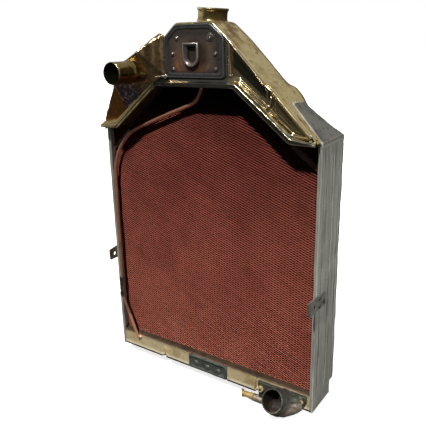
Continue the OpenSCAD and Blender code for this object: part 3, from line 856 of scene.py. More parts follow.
def lump(centre, radii, seed, steps=20):
    """Uneven rounded blob, such as a spot of solder."""
    rings = []
    for i in range(1, steps // 2):
        a = math.pi * i / (steps // 2)
        ring = []
        for k in range(steps):
            b = 2 * math.pi * k / steps
            n = Vector((math.sin(a) * math.cos(b), math.sin(a) * math.sin(b), math.cos(a)))
            grow = 1 + noise.noise(n * 1.7 + Vector((seed, seed, seed))) * 0.45
            ring.append(Vector(centre) + n * Vector(radii) * grow)
        rings.append(ring)
    return loft(rings)


# ------------------------------------------------------------------ plate on the centre box

SLEEVE_X = -3.0
SLEEVE_TOP_Z = 652.0
SLEEVE_FOOT_Z = 629.0
SLEEVE_HALF_W = 15.0
PLATE_Y = box("vent_plate")[0].y
FIELD_Y = PLATE_Y + 1.2


def sleeve_loop(grow, y):
    """U outline with a flat top, grown outwards."""
    r = SLEEVE_HALF_W + grow
    angles = [math.pi + math.pi * k / 32 for k in range(33)]
    foot = [(SLEEVE_X + r * math.cos(a), y, SLEEVE_FOOT_Z + r * math.sin(a)) for a in angles]
    return [(SLEEVE_X - r, y, SLEEVE_TOP_Z + grow), *foot, (SLEEVE_X + r, y, SLEEVE_TOP_Z + grow)]


def plate_outline():
    right = [(62.0, 594.5), (62.0, 661.2), (36.7, 682.6)]
    left = [(-x, z) for x, z in right]
    return [Vector(p) for p in (left[0], *right, left[2], left[1])]


def copper_ring(at):
    """Heat colours round the foot of the sleeve."""
    away = distance(at.place, Vector((SLEEVE_X - 3, FIELD_Y, 624.0)) * MM)
    return times(ramp(away, 0.016, 0.023), ramp(away, 0.028, 0.042, 1, 0), ramp(at.z, 0.606, 0.636, 1, 0.1),
                 ramp(blotches(at.place, 60, shift=4.0), 0.4, 0.58))


# Painted shadow of the sleeve on the field, to its right and below.
def sleeve_shadow_paint(at):
    away = distance(at.place, Vector((SLEEVE_X + 5, FIELD_Y, 631.0)) * MM)
    return times(ramp(away, 0.021, 0.033, 0.75, 0), ramp(at.x, -0.022, -0.008))


def rim_shade(at):
    """Grey towards the field's edges and its sloping upper corners."""
    wide = make_node(at.x, "ShaderNodeMath", {0: at.x}, operation="ABSOLUTE").outputs[0]
    return times(most(ramp(wide, 0.036, 0.051), ramp(at.z, 0.648, 0.668), ramp(at.z, 0.603, 0.614, 1, 0),
                      ramp(plus(wide, at.z), 0.694, 0.708)), 0.85)


def make_vent_plate():
    """Charcoal rim and bronze field, with the U-shaped sleeve through both, its tongue, a dark sheet behind
    it as painted shade, and a painted shadow of the sleeve on the field.
    """
    p = PLATE_Y
    hole = loft([sleeve_loop(0.6, -40), sleeve_loop(0.6, 0)])
    rim = [(0.0, p + 4.4), (0.0, p + 0.4), (0.4, p - 0.2), (1.2, p - 0.6), (2.0, p - 0.4), (2.6, p + 0.1),
           (3.4, p + 0.2), (4.4, p - 0.1), (6.0, p - 0.2), (7.0, p + 0.2), (8.2, p + 0.9), (9.6, p + 1.6)]
    charcoal = surface("charcoal_rim", (74, 74, 75), (62, 62, 65), (42, 42, 45), metallic=0.55,
                       rough=(0.22, 0.42), stain_scale=34, bump=0.3, seed=12.0, wear=(104, 106, 106))
    carve(build("vent_plate_pan", [pan(plate_outline(), rim, 6.0, 0.25, 2.0)], "dark_bronze", "vent_plate",
                finish=charcoal, crease=45), hole, 45)
    field = [(8.4, p + 2.8), (8.4, p + 1.6), (9.4, p + 1.35), (12.0, p + 1.2)]
    bronze = surface("heated_bronze_field", (112, 96, 84), (98, 84, 76), (66, 56, 50), metallic=0.6,
                     rough=(0.28, 0.5), stain_scale=34, bump=0.35, seed=16.0,
                     over=[(copper_ring, (196, 128, 76)), (sleeve_shadow_paint, (52, 40, 34)),
                           (rim_shade, (62, 60, 60))])
    carve(build("vent_plate_field", [pan(plate_outline(), field, 7.0, 0.3, 3.0)], "dark_bronze",
                finish=bronze, crease=45), hole, 45)

    walls = [(1.0, p + 3.2), (1.0, p - 3.0), (0.7, p - 4.2), (-0.2, p - 4.8), (-1.4, p - 4.7),
             (-3.0, p - 3.6), (-5.0, p - 1.4), (-6.8, p + 1.0), (-7.6, p + 3.0), (-7.8, p + 8.0)]
    # The overlay along y is painted shade: the sleeve wall gets darker towards its inner end, inside the
    # opening.
    sleeve = surface("grey_sleeve", (106, 99, 97), (86, 78, 73), (56, 49, 45), metallic=0.6,
                     rough=(0.26, 0.46), stain_scale=60, bump=0.4, seed=17.0, wear=(146, 138, 134),
                     over=[(along("y", (p - 2.2) * MM, (p + 1.5) * MM, 0, 0.9), (46, 38, 26), 0.6)])
    build("vent_sleeve_wall", [loft([sleeve_loop(g, y) for g, y in walls])], "dark_bronze", "vent_sleeve",
          crease=50, finish=sleeve)
    curve = ((-2.6, 5.6), (-1.6, 4.2), (3.0, 3.9), (8.4, 4.4))
    tongue = [[(SLEEVE_X + x, p + y, SLEEVE_FOOT_Z + z) for x, y in curve]
              for z in (SLEEVE_TOP_Z - SLEEVE_FOOT_Z - 6, 8, 0, -4, -8)]
    build("vent_sleeve_tongue", [slab(tongue, (0, 1.2, 0))], "dull_brass", crease=30,
          finish=surface("olive_tongue", (104, 96, 62), (80, 73, 46), (46, 42, 28), rough=(0.3, 0.5),
                         stain_scale=60, bump=0.4, seed=29.0))
    # A dark sheet behind the sleeve's opening: painted shade inside it.
    back = [[(SLEEVE_X + x, p + 7.6, z) for x in (-12.4, 0, 12.4)] for z in (616, 634, 651)]
    build("vent_sleeve_back", [slab(back, (0, 0.8, 0))], "dark_bronze",
          finish=surface("painted_shade_inside", (40, 34, 24), (30, 25, 18), (14, 12, 9), metallic=0.3,
                         rough=(0.6, 0.85), bump=0.5, seed=15.0))


def make_studs():
    """Six worn stud ends, each in a small puddle of solder."""
    studs, puddles = [], []
    for side in (-1, 1):
        for number, (x, z) in enumerate(((35.0, 660.0), (45.0, 634.0), (45.0, 608.5))):
            place, seed = (side * x, FIELD_Y, z), side * 2.0 + number
            r = 8.5 if (side, number) == (1, 0) else 5.2
            flow = [(0, 1.4), (r, 0.6), (r * 0.8, -0.3), (r * 0.45, -0.9), (0, -1.0)]
            worn = [(0, 1), (2.9, 1), (3.0, -0.8), (2.6, -1.7), (1.7, -2.2), (0.8, -2.0), (0, -1.7)]
            puddles.append(dome(flow, place, 1.2, seed))
            studs.append(dome(worn, place, 0.5, seed + 7))
    build("vent_studs", studs, "bright_steel", "vent_plate_studs", crease=50)
    build("vent_stud_solder", puddles, "dark_bronze", crease=60,
          finish=surface("dull_solder", (118, 112, 106), (96, 90, 86), (60, 56, 54), rough=(0.3, 0.5),
                         stain_scale=60, bump=0.5, seed=18.0))


def make_box_beads():
    """Rolled edge at the right of the centre box, thin edges beside the plate, and spots of solder."""
    x, y = 71.2, PANEL_Y
    line = [(x - 2.0, y, 656), (x, y - 0.6, 650), (x, y - 0.8, 628), (x + 0.6, y - 0.6, 606),
            (x + 1.6, y + 0.5, 598)]
    build("box_side_bead", [bar(line, 3, 2.6, 18, 0.25, 1.0)], "polished_brass", crease=60,
          finish=surface("pinkish_bead", (216, 190, 166), (186, 158, 132), (116, 96, 80), rough=(0.2, 0.36),
                         bump=0.2, seed=19.0))
    thin = [bar([(x, y, 661), (x, y - 0.9, 655), (x, y - 1.2, 628), (x, y - 0.4, 599)], 3, 1.5, 14, 0.25, x)
            for x, y in ((65.8, PANEL_Y), (-62.6, PANEL_Y - 2.6))]
    build("box_side_edges", thin, "polished_brass", crease=60,
          finish=surface("blue_grey_edge", (150, 156, 158), (110, 116, 118), (66, 70, 72), rough=(0.16, 0.34),
                         bump=0.2, seed=30.0))
    # Spots of solder: x and z, their radii, and how far they stand out from the panel.
    spots = ((-62, 596.5, 6.0, 3.4, 5), (-72, 589, 6.0, 2.2, 3), (69.0, 656, 4.4, 2.6, 2),
             (73.0, 600, 2.6, 2.4, 2), (146.0, 553, 3.6, 3.4, 4), (189.5, 510.3, 3.8, 3.2, 7),
             (223.0, 511.0, 2.4, 2.8, 6), (223.0, 503.0, 2.6, 2.6, 8))
    blobs = [lump((x, PANEL_Y - out, z), (rx, 2.2, rz), i) for i, (x, z, rx, rz, out) in enumerate(spots)]
    build("solder_spots", blobs, "bright_steel", crease=60,
          finish=surface("bright_solder", (246, 242, 232), (226, 218, 200), (160, 150, 130),
                         rough=(0.12, 0.25), bump=0.3, bump_scale=200, seed=24.0))


# ------------------------------------------------------------------ inlet housing and spigot

INLET = Vector((-110.0, 0.0, 606.0))
SEAM_1 = (Vector((-99.0, -49.0, 640.0)), Vector((-89.0, -20.0, 593.0)))
SEAM_2 = (Vector((-152.0, -56.0, 583.0)), Vector((-158.0, -18.0, 538.0)))
RIDGE_POINTS = [Vector((-63, -17, 666.5)), Vector((-72, -18, 669)), Vector((-78, -28, 658.5)), SEAM_1[0],
                Vector((-126, -56, 622)), SEAM_2[0], Vector((-224, -15, 509))]
FOOT_POINTS = [Vector((-63, -17, 598)), Vector((-80, -24, 596)), SEAM_1[1], SEAM_2[1],
               Vector((-186, -15.5, 511))]


def left_of(seam, p):
    """True where p is on the far (outer) side of a seam, seen square on."""
    a, b = seam
    return (b.x - a.x) * (p.z - a.z) - (b.z - a.z) * (p.x - a.x) < 0


def below_spigot(at):
    return times(ramp(at.z, 0.578, 0.596, 1, 0), ramp(at.x, -0.128, -0.108, 1, 0.15))


def pewter_runs(at):
    """Pewter purple with pale runs of solder."""
    runs = ramp(blotches(at.place, 170, detail=3, shift=3.0), 0.54, 0.6)
    return mix(runs, rgb(104, 86, 98), rgb(190, 178, 180))


def make_housing():
    """Folded box on the left arm: three plates meeting at soldered seams, dented by hand work."""
    back_y = FACE_Y - 0.1
    bm = bmesh.new()
    for p in RIDGE_POINTS + FOOT_POINTS:
        bm.verts.new(p)
        bm.verts.new(Vector((p.x, back_y, p.z)))
    bmesh.ops.convex_hull(bm, input=bm.verts)
    bmesh.ops.delete(bm, geom=[v for v in bm.verts if not v.link_faces], context="VERTS")
    bmesh.ops.triangulate(bm, faces=bm.faces)
    bm.verts.index_update()
    hull = [v.co.copy() for v in bm.verts], [tuple(v.index for v in f.verts) for f in bm.faces]
    bm.free()
    piece = build("inlet_housing_shell", [hull], "patched_brass", "inlet_housing", crease=50)
    carve(piece, turned([(0.01, 20), (17.4, 20), (17.4, 90), (0.01, 90)], INLET, (0, -1, 0)), 50)
    soften(piece, 1.15, 3)
    mesh = piece.data
    mesh.materials.clear()
    middle = surface("patched_plate", (166, 142, 94), (128, 108, 80), (78, 66, 54), rough=(0.16, 0.34),
                     stain_scale=50, bump=0.7, bump_scale=150, seed=20.0, wear=(214, 188, 130),
                     over=[(below_spigot, pewter_runs)])
    outer = surface("heat_coloured_copper", (176, 118, 66), (118, 84, 46), (70, 56, 36), rough=(0.2, 0.4),
                    stain_scale=26, bump=0.3, seed=14.0)
    for mat in (MATERIALS["patched_brass"], middle, outer):
        mesh.materials.append(mat)

    def dents(p):
        middle_plate = left_of(SEAM_1, p) and not left_of(SEAM_2, p)
        depth = 1.2 if middle_plate and p.z < 592 else 0.55
        pleat = math.sin(p.x / 1.9 + wobble(p, 20, 2.0)) * clamp((p.x + 100) / 14) * (p.x < -66)
        return (p.y < back_y - 0.5) * (wobble(p, 12, depth, 5.0) + wobble(p, 30, 1.0, 8.0) + 0.4 * pleat)

    push(piece, dents)
    for f in mesh.polygons:
        p = f.center / MM
        f.material_index = 2 if left_of(SEAM_2, p) else 1 if left_of(SEAM_1, p) else 0


def make_seams():
    """Raised runs of solder along the housing's joints and its foot."""
    lines = []
    for number, (a, b) in enumerate((SEAM_1, SEAM_2)):
        line = [a + Vector((0, -0.6, 0.6)), lerp(a, b, 0.5) + Vector((0.8, -0.4, 0)),
                b + Vector((0, -0.8, 0))]
        lines.append(bar(line, 2.0, lambda t: 1.0 + 0.35 * math.sin(t * 23), 12, 0.5, 2.0 + number))
    foot = [p + Vector((0, -0.8, -0.6)) for p in FOOT_POINTS]
    lines.append(sweep(spaced(foot, 3.0), 1.3, 12, 0.6, 5.0))
    build("housing_solder", lines, "bright_steel", crease=60,
          finish=surface("seam_solder", (150, 140, 124), (112, 102, 90), (64, 58, 50), rough=(0.2, 0.4),
                         stain_scale=60, bump=0.6, seed=21.0, wear=(230, 222, 206)))


def spigot_bore_shade(at):
    """Painted shade inside the spigot: within the bore's radius of its axis, which runs along Y."""
    axis = make_node(at.y, "ShaderNodeCombineXYZ", {0: INLET.x * MM, 1: at.y, 2: INLET.z * MM}).outputs[0]
    return ramp(distance(at.place, axis), 0.0179, 0.0183, 1, 0)


def make_spigot():
    """The top hose spigot, which casts no shadow because the photograph shows none."""
    root, joint, tip = 32.0, 62.0, -box("inlet_spigot")[0].y
    profile = [(17.5, root), (19.4, root), (19.5, joint - 5), (20.2, joint - 3.2), (20.5, joint - 1.2),
               (19.9, joint + 0.6), (19.1, joint + 1.6), (19.0, joint + 12), (18.95, tip - 9),
               (19.1, tip - 1.2), (18.8, tip - 0.2), (18.1, tip), (17.7, tip - 0.8), (17.6, joint)]
    low = INLET.z * MM
    # The overlay along z is painted shade on the spigot's underside, below its axis.
    brass = surface("spigot_brass", (150, 130, 88), (116, 98, 62), (66, 54, 36), rough=(0.12, 0.3),
                    stain_scale=30, dark_from=0.56, bump=0.3, seed=31.0, wear=(226, 204, 156),
                    over=[(spigot_bore_shade, (46, 40, 32), 0.7),
                          (along("z", low - 0.010, low - 0.003, 0.92, 0), (44, 46, 30), 0.5)])
    piece = build("top_hose_spigot", [turned(profile, INLET, (0, -1, 0), 96, 0.5, 3.0)], "polished_brass",
                  "inlet_spigot", crease=60, finish=brass)
    piece.visible_shadow = False


def make_neck():
    """The filler neck with its rolled rims."""
    profile = [(24.0, -7.5), (25.5, -7.5), (25.6, 0.2), (26.7, 0.7), (27.0, 1.7), (26.2, 2.9), (25.5, 4.2),
               (25.3, 9), (25.35, 15.5), (25.7, 17.6), (26.7, 18.8), (27.3, 20.4), (27.1, 22.0), (26.2, 22.9),
               (25.1, 22.9), (24.2, 21.8), (23.9, 19)]
    build("filler_neck_tube", [turned(profile, NECK_FOOT, NECK_AXIS, 96, 0.4, 6.0)], "dull_brass",
          "filler_neck", "neck_rim", crease=60,
          finish=surface("neck_brass", (196, 176, 126), (158, 138, 92), (92, 76, 50), rough=(0.14, 0.32),
                         stain_scale=24, bump=0.3, seed=22.0, wear=POLISHED_WEAR,
                         over=[(along("x", 0.016, 0.022, 0, 0.9), (96, 78, 46), 0.42)]))


# ------------------------------------------------------------------ side plates, shoulders and stays

PLATE_HIGH = box("side_plate_right")[1]
TANK_LOW, TANK_HIGH = box("bottom_tank")
GROOVES = (14.0, 46.0, 75.0)
NOTCH_Z = 28.0
SHOULDER_TOP_X = 177.0


def plate_section(z):
    """Outer surface of a side plate at a height, from the front hem round to the rear hem: (x, y) pairs."""
    out, inner, depth = PLATE_HIGH.x, PLATE_HIGH.x - 6.4, PLATE_HIGH.y
    fade = clamp((z - 38) / 7) * clamp((490 - z) / 7)
    section = [(inner + 0.2, 1.4), (inner, -0.3), (inner + 0.7, -1.4), (inner + 2.4, -1.7), (out - 1.6, -1.6),
               (out - 0.5, -1.1), (out, 0.0)]
    y = 1.0
    while y < depth - 1.5:
        press = 0
        for centre in GROOVES:
            lip = math.exp(-(abs((y - centre) / 1.9) - 2.3) ** 2 * 1.6)
            press += 2.1 * hill(y, centre, 1.9) - 0.55 * lip
        section.append((out - press * fade, y))
        y += 0.9
    return section + [(out, depth - 1.2), (out - 0.4, depth - 0.3), (out - 1.4, depth), (inner + 1.0, depth),
                      (inner, depth - 0.8), (inner + 0.2, depth - 2.2)]


def make_side_plate(name, side):
    """Side plate with three pressed grooves, hemmed front and rear, and narrower beside the tank."""
    heights = [0.0]
    while heights[-1] < PLATE_HIGH.z - 3:
        near_end = heights[-1] < 56 or heights[-1] > PLATE_HIGH.z - 26
        heights.append(heights[-1] + (2.0 if near_end else 6.0))
    heights[-1] = PLATE_HIGH.z
    rows = []
    for z in sorted(heights + [NOTCH_Z - 0.2, NOTCH_Z + 0.2]):
        shrink = TANK_HIGH.y / PLATE_HIGH.y if z < NOTCH_Z else 1.0
        row = []
        for x, y in plate_section(z):
            dent = wobble((x, y, z), 34, 1.0, side * 3.0) + wobble((x, y, z), 11, 0.25, side * 5.0)
            row.append(Vector((side * (x - max(dent, -0.5)), y * shrink, z)))
        rows.append(row)

    def inwards(p):
        return Vector((-side * (1.1 if 1.5 < p.y < 80 else 0.6), 0.5 * (p.y < 1.5), 0))

    build("side_plate_%s_pressing" % name, [slab(rows, inwards)], "tinned_steel", "side_plate_" + name,
          crease=45)


def make_shoulder(name, side):
    """Tinned sheet lapped over the header's end, with a rough front end and a skirt over the side plate."""
    length = PLATE_HIGH.x + 0.9 - SHOULDER_TOP_X
    rows = []
    for i in range(37):
        t = i / 36
        row = []
        for k in range(25):
            s = k / 24
            x = SHOULDER_TOP_X + t * length + wobble((0, s * 80, 0), 7, 3.2, side) * (1 - t)
            curl = 2.4 * s * max(0, t - 0.8) / 0.2
            z = OUTER_RIDGE_SUM - x + 2.3 + curl + wobble((x, s * 80, 0), 13, 1.0, side * 2.0)
            front = 2.0 + 5.0 * (1 - t) ** 2 - 7.0 * t * t + wobble((x, 0, 0), 6, 1.6, 4.0) * (1 - t)
            y = lerp(front, lerp(47.0, PLATE_HIGH.y - 3.5, t ** 1.3), s)
            row.append(Vector((side * x, y, z - 1.6 * (k in (0, 24)))))
        rows.append(row)
    edge = rows[-1]
    for drop, out in ((1.2, 0.5), (3.0, 0.7), (8.5, 0.7)):
        rows.append([p + Vector((side * out, 0, -drop - wobble(p, 9, 1.2, 7.0) * (drop > 5))) for p in edge])
    tin = surface("shoulder_tin_" + name, (96, 95, 90), (78, 77, 73), (48, 45, 40), metallic=0.4,
                  rough=(0.4, 0.6), stain_scale=24, dark_from=0.56, bump=0.4, seed=33.0 + side,
                  wear=(176, 174, 164))
    build("shoulder_%s_sheet" % name, [slab(rows, (-side * 0.9, 0, -0.9))], "tinned_steel",
          "shoulder_" + name, crease=50, finish=tin)


def make_stay(name, side):
    """Flat strip across the corner under an arm."""
    across = Vector((0.62, 0, 0.78)) * 4.4
    rows = []
    for i in range(25):
        t = i / 24
        middle = lerp(Vector((179.0, 7.5, 489.0)), Vector((226.5, 8.5, 452.0)), t)
        reach = across + Vector((0, 2.0 * math.sin(3 * t + 0.4), 0))
        row = [middle + reach * share + Vector((0, -0.4 * (abs(share) == 0.5), 0))
               for share in (-1, -0.5, 0, 0.5, 1)]
        rows.append([Vector((side * q.x, q.y + wobble(q, 12, 0.5, side), q.z)) for q in row])
    build("corner_stay_%s_strip" % name, [slab(rows, (0, 1.3, 0))], "stained_copper", "corner_stay_" + name,
          crease=40, finish=surface("stay_" + name, (84, 64, 60), (64, 50, 48), (40, 34, 32), metallic=0.4,
                                    rough=(0.45, 0.7), bump=0.4, seed=32.0 + side))


# ------------------------------------------------------------------ overflow pipe

PIPE_R = 3.2
PIPE_LEAN = math.sin(math.radians(0.89))
PIPE_FOOT_Y = -3.9
# The pipe's corners: x, z and the bend's radius.
PIPE_CORNERS = [(3.0, 580.8, 0), (-10.8, 552.3, 40), (-224.6, 468.7, 117), (-224.6, 117.8, 60),
                (-186.0, 27.0, 0)]


def filleted(corners, steps=14):
    """Line through corners with true arcs at the bends, leaning out towards its foot."""
    line = []
    for i, (x, z, r) in enumerate(corners):
        p = Vector((x, z))
        if r == 0:
            line.append(p)
            continue
        u, v = ((Vector(corners[i + way][:2]) - p).normalized() for way in (-1, 1))
        half = u.angle(v) / 2
        centre = p + (u + v).normalized() * r / math.sin(half)
        start, end = (p + way * r / math.tan(half) - centre for way in (u, v))
        for k in range(steps + 1):
            a = start.angle_signed(end) * k / steps
            c, s = math.cos(a), math.sin(a)
            line.append(centre + Vector((start.x * c + start.y * s, start.y * c - start.x * s)))
    return [Vector((p.x, PIPE_FOOT_Y + p.y * PIPE_LEAN, p.y)) for p in line]


def make_pipe():
    """Bent copper pipe, with a soldered clip half way down and solder round its foot."""
    line = [p + Vector((wobble(p, 60, 1.4, 1.0), wobble(p, 50, 0.8, 2.0), 0)) * (60 < p.z < 560)
            for p in spaced(filleted(PIPE_CORNERS), 5.0)]
    build("overflow_pipe_bent", [sweep(line, PIPE_R, 20, 0.3, 3.0)], "copper_pipe", "overflow_pipe",
          crease=60)
    clip = [(-226.5, -3.4, 119), (-225.6, -4.2, 128), (-225.0, -4.4, 142), (-224.6, -4.0, 156),
            (-224.8, -3.2, 165)]
    build("pipe_clip", [bar(clip, 2.5, lambda t: 4.4 + 0.8 * math.sin(t * 9), 18, 0.7, 4.0, flat=0.62)],
          "tinned_steel", crease=60,
          finish=surface("solder", (168, 166, 160), (128, 126, 122), (80, 78, 76), rough=(0.2, 0.42),
                         bump=0.7, bump_scale=300, seed=11.0))
    foot = line[-1] + Vector((1.5, 2.2, 0.5))
    build("pipe_foot_solder", [lump(foot, (5.2, 3.0, 4.2), 3.0)], "satin_brass", crease=60)


# ------------------------------------------------------------------ bottom tank, ledge and pad

PAD_LOW, PAD_HIGH = box("mounting_pad")
NOTCHES = (-113.0, 117.0)


def tank_ring(x):
    """Section of the tank at x: front face with a rolled lower hem, underside, back and top."""
    high, depth = TANK_HIGH.z, TANK_HIGH.y
    press = sum(5.5 * hill(x, notch, 1.9) for notch in NOTCHES)
    lift = sum(6.5 * hill(x, notch, 5.0 if (x - notch) * notch > 0 else 2.2) for notch in NOTCHES)
    front = [(0.9, high), (0.3, high - 0.5), (0.0, high - 1.6)]
    front += [(wobble((x, 0, z), 20, 0.9, 3.0), z) for z in (28, 24, 20, 16, 12)]
    front += [(-0.2, 8), (-0.7, 5.4), (-1.4, 3.9), (-1.8, 2.6), (-1.6, 1.3), (-0.8, 0.4), (0.6, 0.0)]
    ring = []
    for y, z in front:
        share = clamp((24 - z) / 14)
        rise = lift * share if z > 0.1 else lift * 0.9
        ring.append((y + press * share, z + rise * (1 - z / high)))
    if PAD_LOW.x < x < PAD_HIGH.x:
        ring = [(PAD_HIGH.y + 0.2 if z < PAD_HIGH.z - 0.4 else y, z) for y, z in ring]
    ring += [(6, 0), (depth - 2.5, 0), (depth - 0.7, 0.6), (depth, 2.2), (depth, high - 1), (depth - 1, high),
             (20, high)]
    return [(x, y, z) for y, z in ring]


# Painted highlight along the tank's rolled hem.
def hem_highlight_paint(at):
    return times(ramp(at.z, 0.0046, 0.0056), ramp(at.z, 0.0075, 0.011, 1, 0), 0.9)


def make_tank():
    """Satin brass trough with a painted highlight along its hem, painted shade below it and painted shade
    under the ledge.
    """
    xs = [edge + gap for edge in (PAD_LOW.x, PAD_HIGH.x) for gap in (-0.15, 0.15)] + [TANK_HIGH.x]
    x = TANK_LOW.x
    while x < TANK_HIGH.x:
        xs.append(x)
        x += 1.0 if min(abs(x - notch) for notch in NOTCHES) < 16 else 3.0
    brass = surface("tank_brass", (250, 228, 180), (214, 188, 138), (140, 114, 76), metallic=0.6,
                    rough=(0.36, 0.56), stain_scale=26, dark_from=0.6, bump=0.3, seed=34.0,
                    wear=(255, 244, 214),
                    # The first overlay is painted shade under the ledge; the second is the painted hem
                    # highlight.
                    over=[(along("z", 0.027, 0.033, 0, 0.5), (120, 100, 68)), (hem_highlight_paint, (255, 244, 214)),
                          # Painted shade: a black band along the bottom, below the hem.
                          (along("z", 0.0038, 0.005, 1, 0), (24, 22, 18), 0.7)])
    build("bottom_tank_trough", [loft([tank_ring(x) for x in sorted(xs)])], "satin_brass", "bottom_tank",
          crease=45, finish=brass)
    curls = [bar([(x - side * 2.4, -0.2, top), (x - side * 0.4, -1.4, top - 3), (x, -2.2, top - 9),
                  (x - side * 0.6, -1.9, 12), (x + side * 2.2, -1.4, 8)], 1.5, 1.25, 12, 0.3, x)
             for x, side, top in ((-110.6, 1, 25.0), (113.8, -1, 33.0))]
    build("tank_curled_edges", curls, "satin_brass", crease=60)


def make_ledge():
    """Dark stained tube plate that shows as a ledge in front of the core's foot."""
    low, high = box("lower_tube_plate")
    rings = []
    count = 150
    for i in range(count + 1):
        x = lerp(low.x, high.x, i / count)
        sag = wobble((x, 0, 0), 24, 0.9, 2.0)
        lap = wobble((x, 0, 0), 9, 0.7, 5.0)
        rings.append([(x, y, z) for y, z in (
            (1.2 + lap, low.z + 0.05), (-0.5 + lap, low.z + 0.15), (-1.1 + lap, low.z + 0.9),
            (-0.8 + lap, high.z - 0.3), (0.4 + lap, high.z + 0.2), (4.0, high.z + 0.3 + sag * 0.5),
            (8.0, high.z + 0.1 + sag), (12.6, high.z + 0.7), (40.0, high.z - 0.1), (high.y, high.z - 0.1),
            (high.y, low.z + 0.05))])
    build("lower_ledge", [loft(rings)], "stained_copper", "lower_tube_plate", crease=50)


def make_pad():
    """Rough black pad let into the tank's face, with three worn round heads."""
    w, top, corner, f = PAD_HIGH.x, PAD_HIGH.z, 5.0, PAD_LOW.y
    outline = [Vector(p) for p in ((-w, 0.0), (w, 0.0), (w, top - corner), (w - corner, top),
                                   (corner - w, top), (-w, top - corner))]
    profile = [(0.0, PAD_HIGH.y), (0.0, f + 2.6), (0.5, f + 1.1), (1.6, f + 0.1), (3.0, f - 0.3),
               (4.4, f + 0.1), (5.6, f + 1.0), (6.8, f + 1.9), (8.2, f + 2.4), (10.0, f + 2.5)]
    build("mounting_pad_casting", [pan(outline, profile, 6.0, 1.3, 4.0)], "black_iron", "mounting_pad",
          crease=60)
    head = [(0, 2), (7.0, 2), (6.8, -0.6), (5.6, -2.0), (3.4, -2.9), (1.4, -3.0), (0, -2.8)]
    heads = [dome(head, (x, f + 3.4, 14.0 - number * 1.2), 0.8, number * 2.0)
             for number, x in enumerate((-30.0, -2.0, 25.0))]
    build("pad_heads", heads, "bright_steel", "pad_rivets", crease=60,
          finish=surface("worn_pad_heads", (112, 114, 110), (86, 90, 86), (50, 54, 52), metallic=0.6,
                         rough=(0.34, 0.52), stain_scale=70, bump=0.6, seed=23.0))


# ------------------------------------------------------------------ bottom hose elbow

ELBOW_MOUTH = Vector((176.5, -50, 34)) * MM
ELBOW_AXIS = Vector((-0.117, -0.830, 0.545))


def dark_top(at):
    ragged = plus(at.z, times(blotches(at.place, 90), 0.02))
    return most(ramp(ragged, 0.026, 0.04, 0, 0.9), ramp(at.y, -0.014, -0.01, 0, 0.85))


def elbow_bore_shade(at):
    """Painted shade inside the elbow: within the bore's radius of the axis through its mouth."""
    from_mouth = make_node(at.place, "ShaderNodeVectorMath", {0: at.place, 1: ELBOW_MOUTH},
                           operation="SUBTRACT").outputs[0]
    crossed = make_node(at.place, "ShaderNodeVectorMath", {0: from_mouth, 1: ELBOW_AXIS},
                        operation="CROSS_PRODUCT").outputs[0]
    away = make_node(at.place, "ShaderNodeVectorMath", {0: crossed}, operation="LENGTH").outputs["Value"]
    return ramp(away, 0.0196, 0.0206, 0.95, 0)


def make_elbow():
    """The elbow's CAD shape with a heel and web run into its flange, remade as one rough casting."""
    cad = frame["nodes"]["outlet_elbow"].data
    shape = [v.co / MM for v in cad.vertices], [tuple(f.vertices) for f in cad.polygons]
    web = bar([(168, -38, 12), (182, -32, 8), (198, -19, 9), (216, -8, 15)], 3,
              lambda t: 7.0 + 8.5 * math.sin(math.pi * min(0.2 + t * 0.8, 1)), 24, 1.0, 2.0)
    rib = bar([(184, -30, 22), (196, -18, 24), (214, -6, 22)], 3, lambda t: 12 - 6 * t, 20, 1.0, 3.0)
    rough = surface("rough_casting", (124, 114, 102), (100, 92, 82), (60, 55, 48), metallic=0.35,
                    rough=(0.34, 0.56), stain_scale=55, bump=0.9, bump_scale=220, seed=35.0,
                    wear=(170, 162, 146),
                    over=[(dark_top, (58, 62, 58), 0.45), (elbow_bore_shade, (44, 36, 29), 0.7)])
    piece = build("outlet_elbow_casting", [shape, web, rib], "grey_casting", "outlet_elbow", finish=rough)
    soften(piece, 1.1, 6)
    push(piece, lambda p: wobble(p, 5, 0.35, 1.0) + wobble(p, 14, 0.6, 2.0))


# ------------------------------------------------------------------ CAD nodes that stay on show

NODE_FINISHES = {
    "upper_tube_plate": surface("sooty_plate", (74, 68, 50), (56, 52, 40), (34, 31, 26), metallic=0.4,
                                rough=(0.4, 0.6), bump=0.4, seed=43.0),
    "side_bracket_right": surface("grey_tab_right", (122, 120, 112), (102, 100, 93), (66, 63, 57),
                                  metallic=0.4, rough=(0.4, 0.6), stain_scale=60, bump=0.5, seed=40.0),
    "side_bracket_left": surface("dark_tab_left", (104, 102, 88), (84, 80, 68), (52, 49, 42), metallic=0.4,
                                 rough=(0.4, 0.6), stain_scale=60, bump=0.5, seed=41.0),
    "outlet_nuts": surface("cream_brass_nuts", (226, 200, 150), (200, 172, 124), (136, 110, 72), metallic=0.4,
                           rough=(0.26, 0.46), stain_scale=60, bump=0.5, seed=36.0),
    "drain_boss": surface("tan_grey_boss", (170, 156, 138), (142, 128, 112), (92, 82, 70), metallic=0.6,
                          rough=(0.34, 0.54), stain_scale=50, bump=0.6, seed=37.0),
    "drain_tap_barrel": surface("golden_barrel", (214, 186, 120), (176, 146, 88), (104, 82, 46), metallic=0.5,
                                rough=(0.2, 0.4), stain_scale=50, bump=0.4, seed=38.0),
    "drain_tap_key": surface("golden_key", (206, 182, 118), (160, 134, 80), (86, 70, 40), metallic=0.5,
                             rough=(0.2, 0.4), stain_scale=60, bump=0.4, seed=39.0),
}


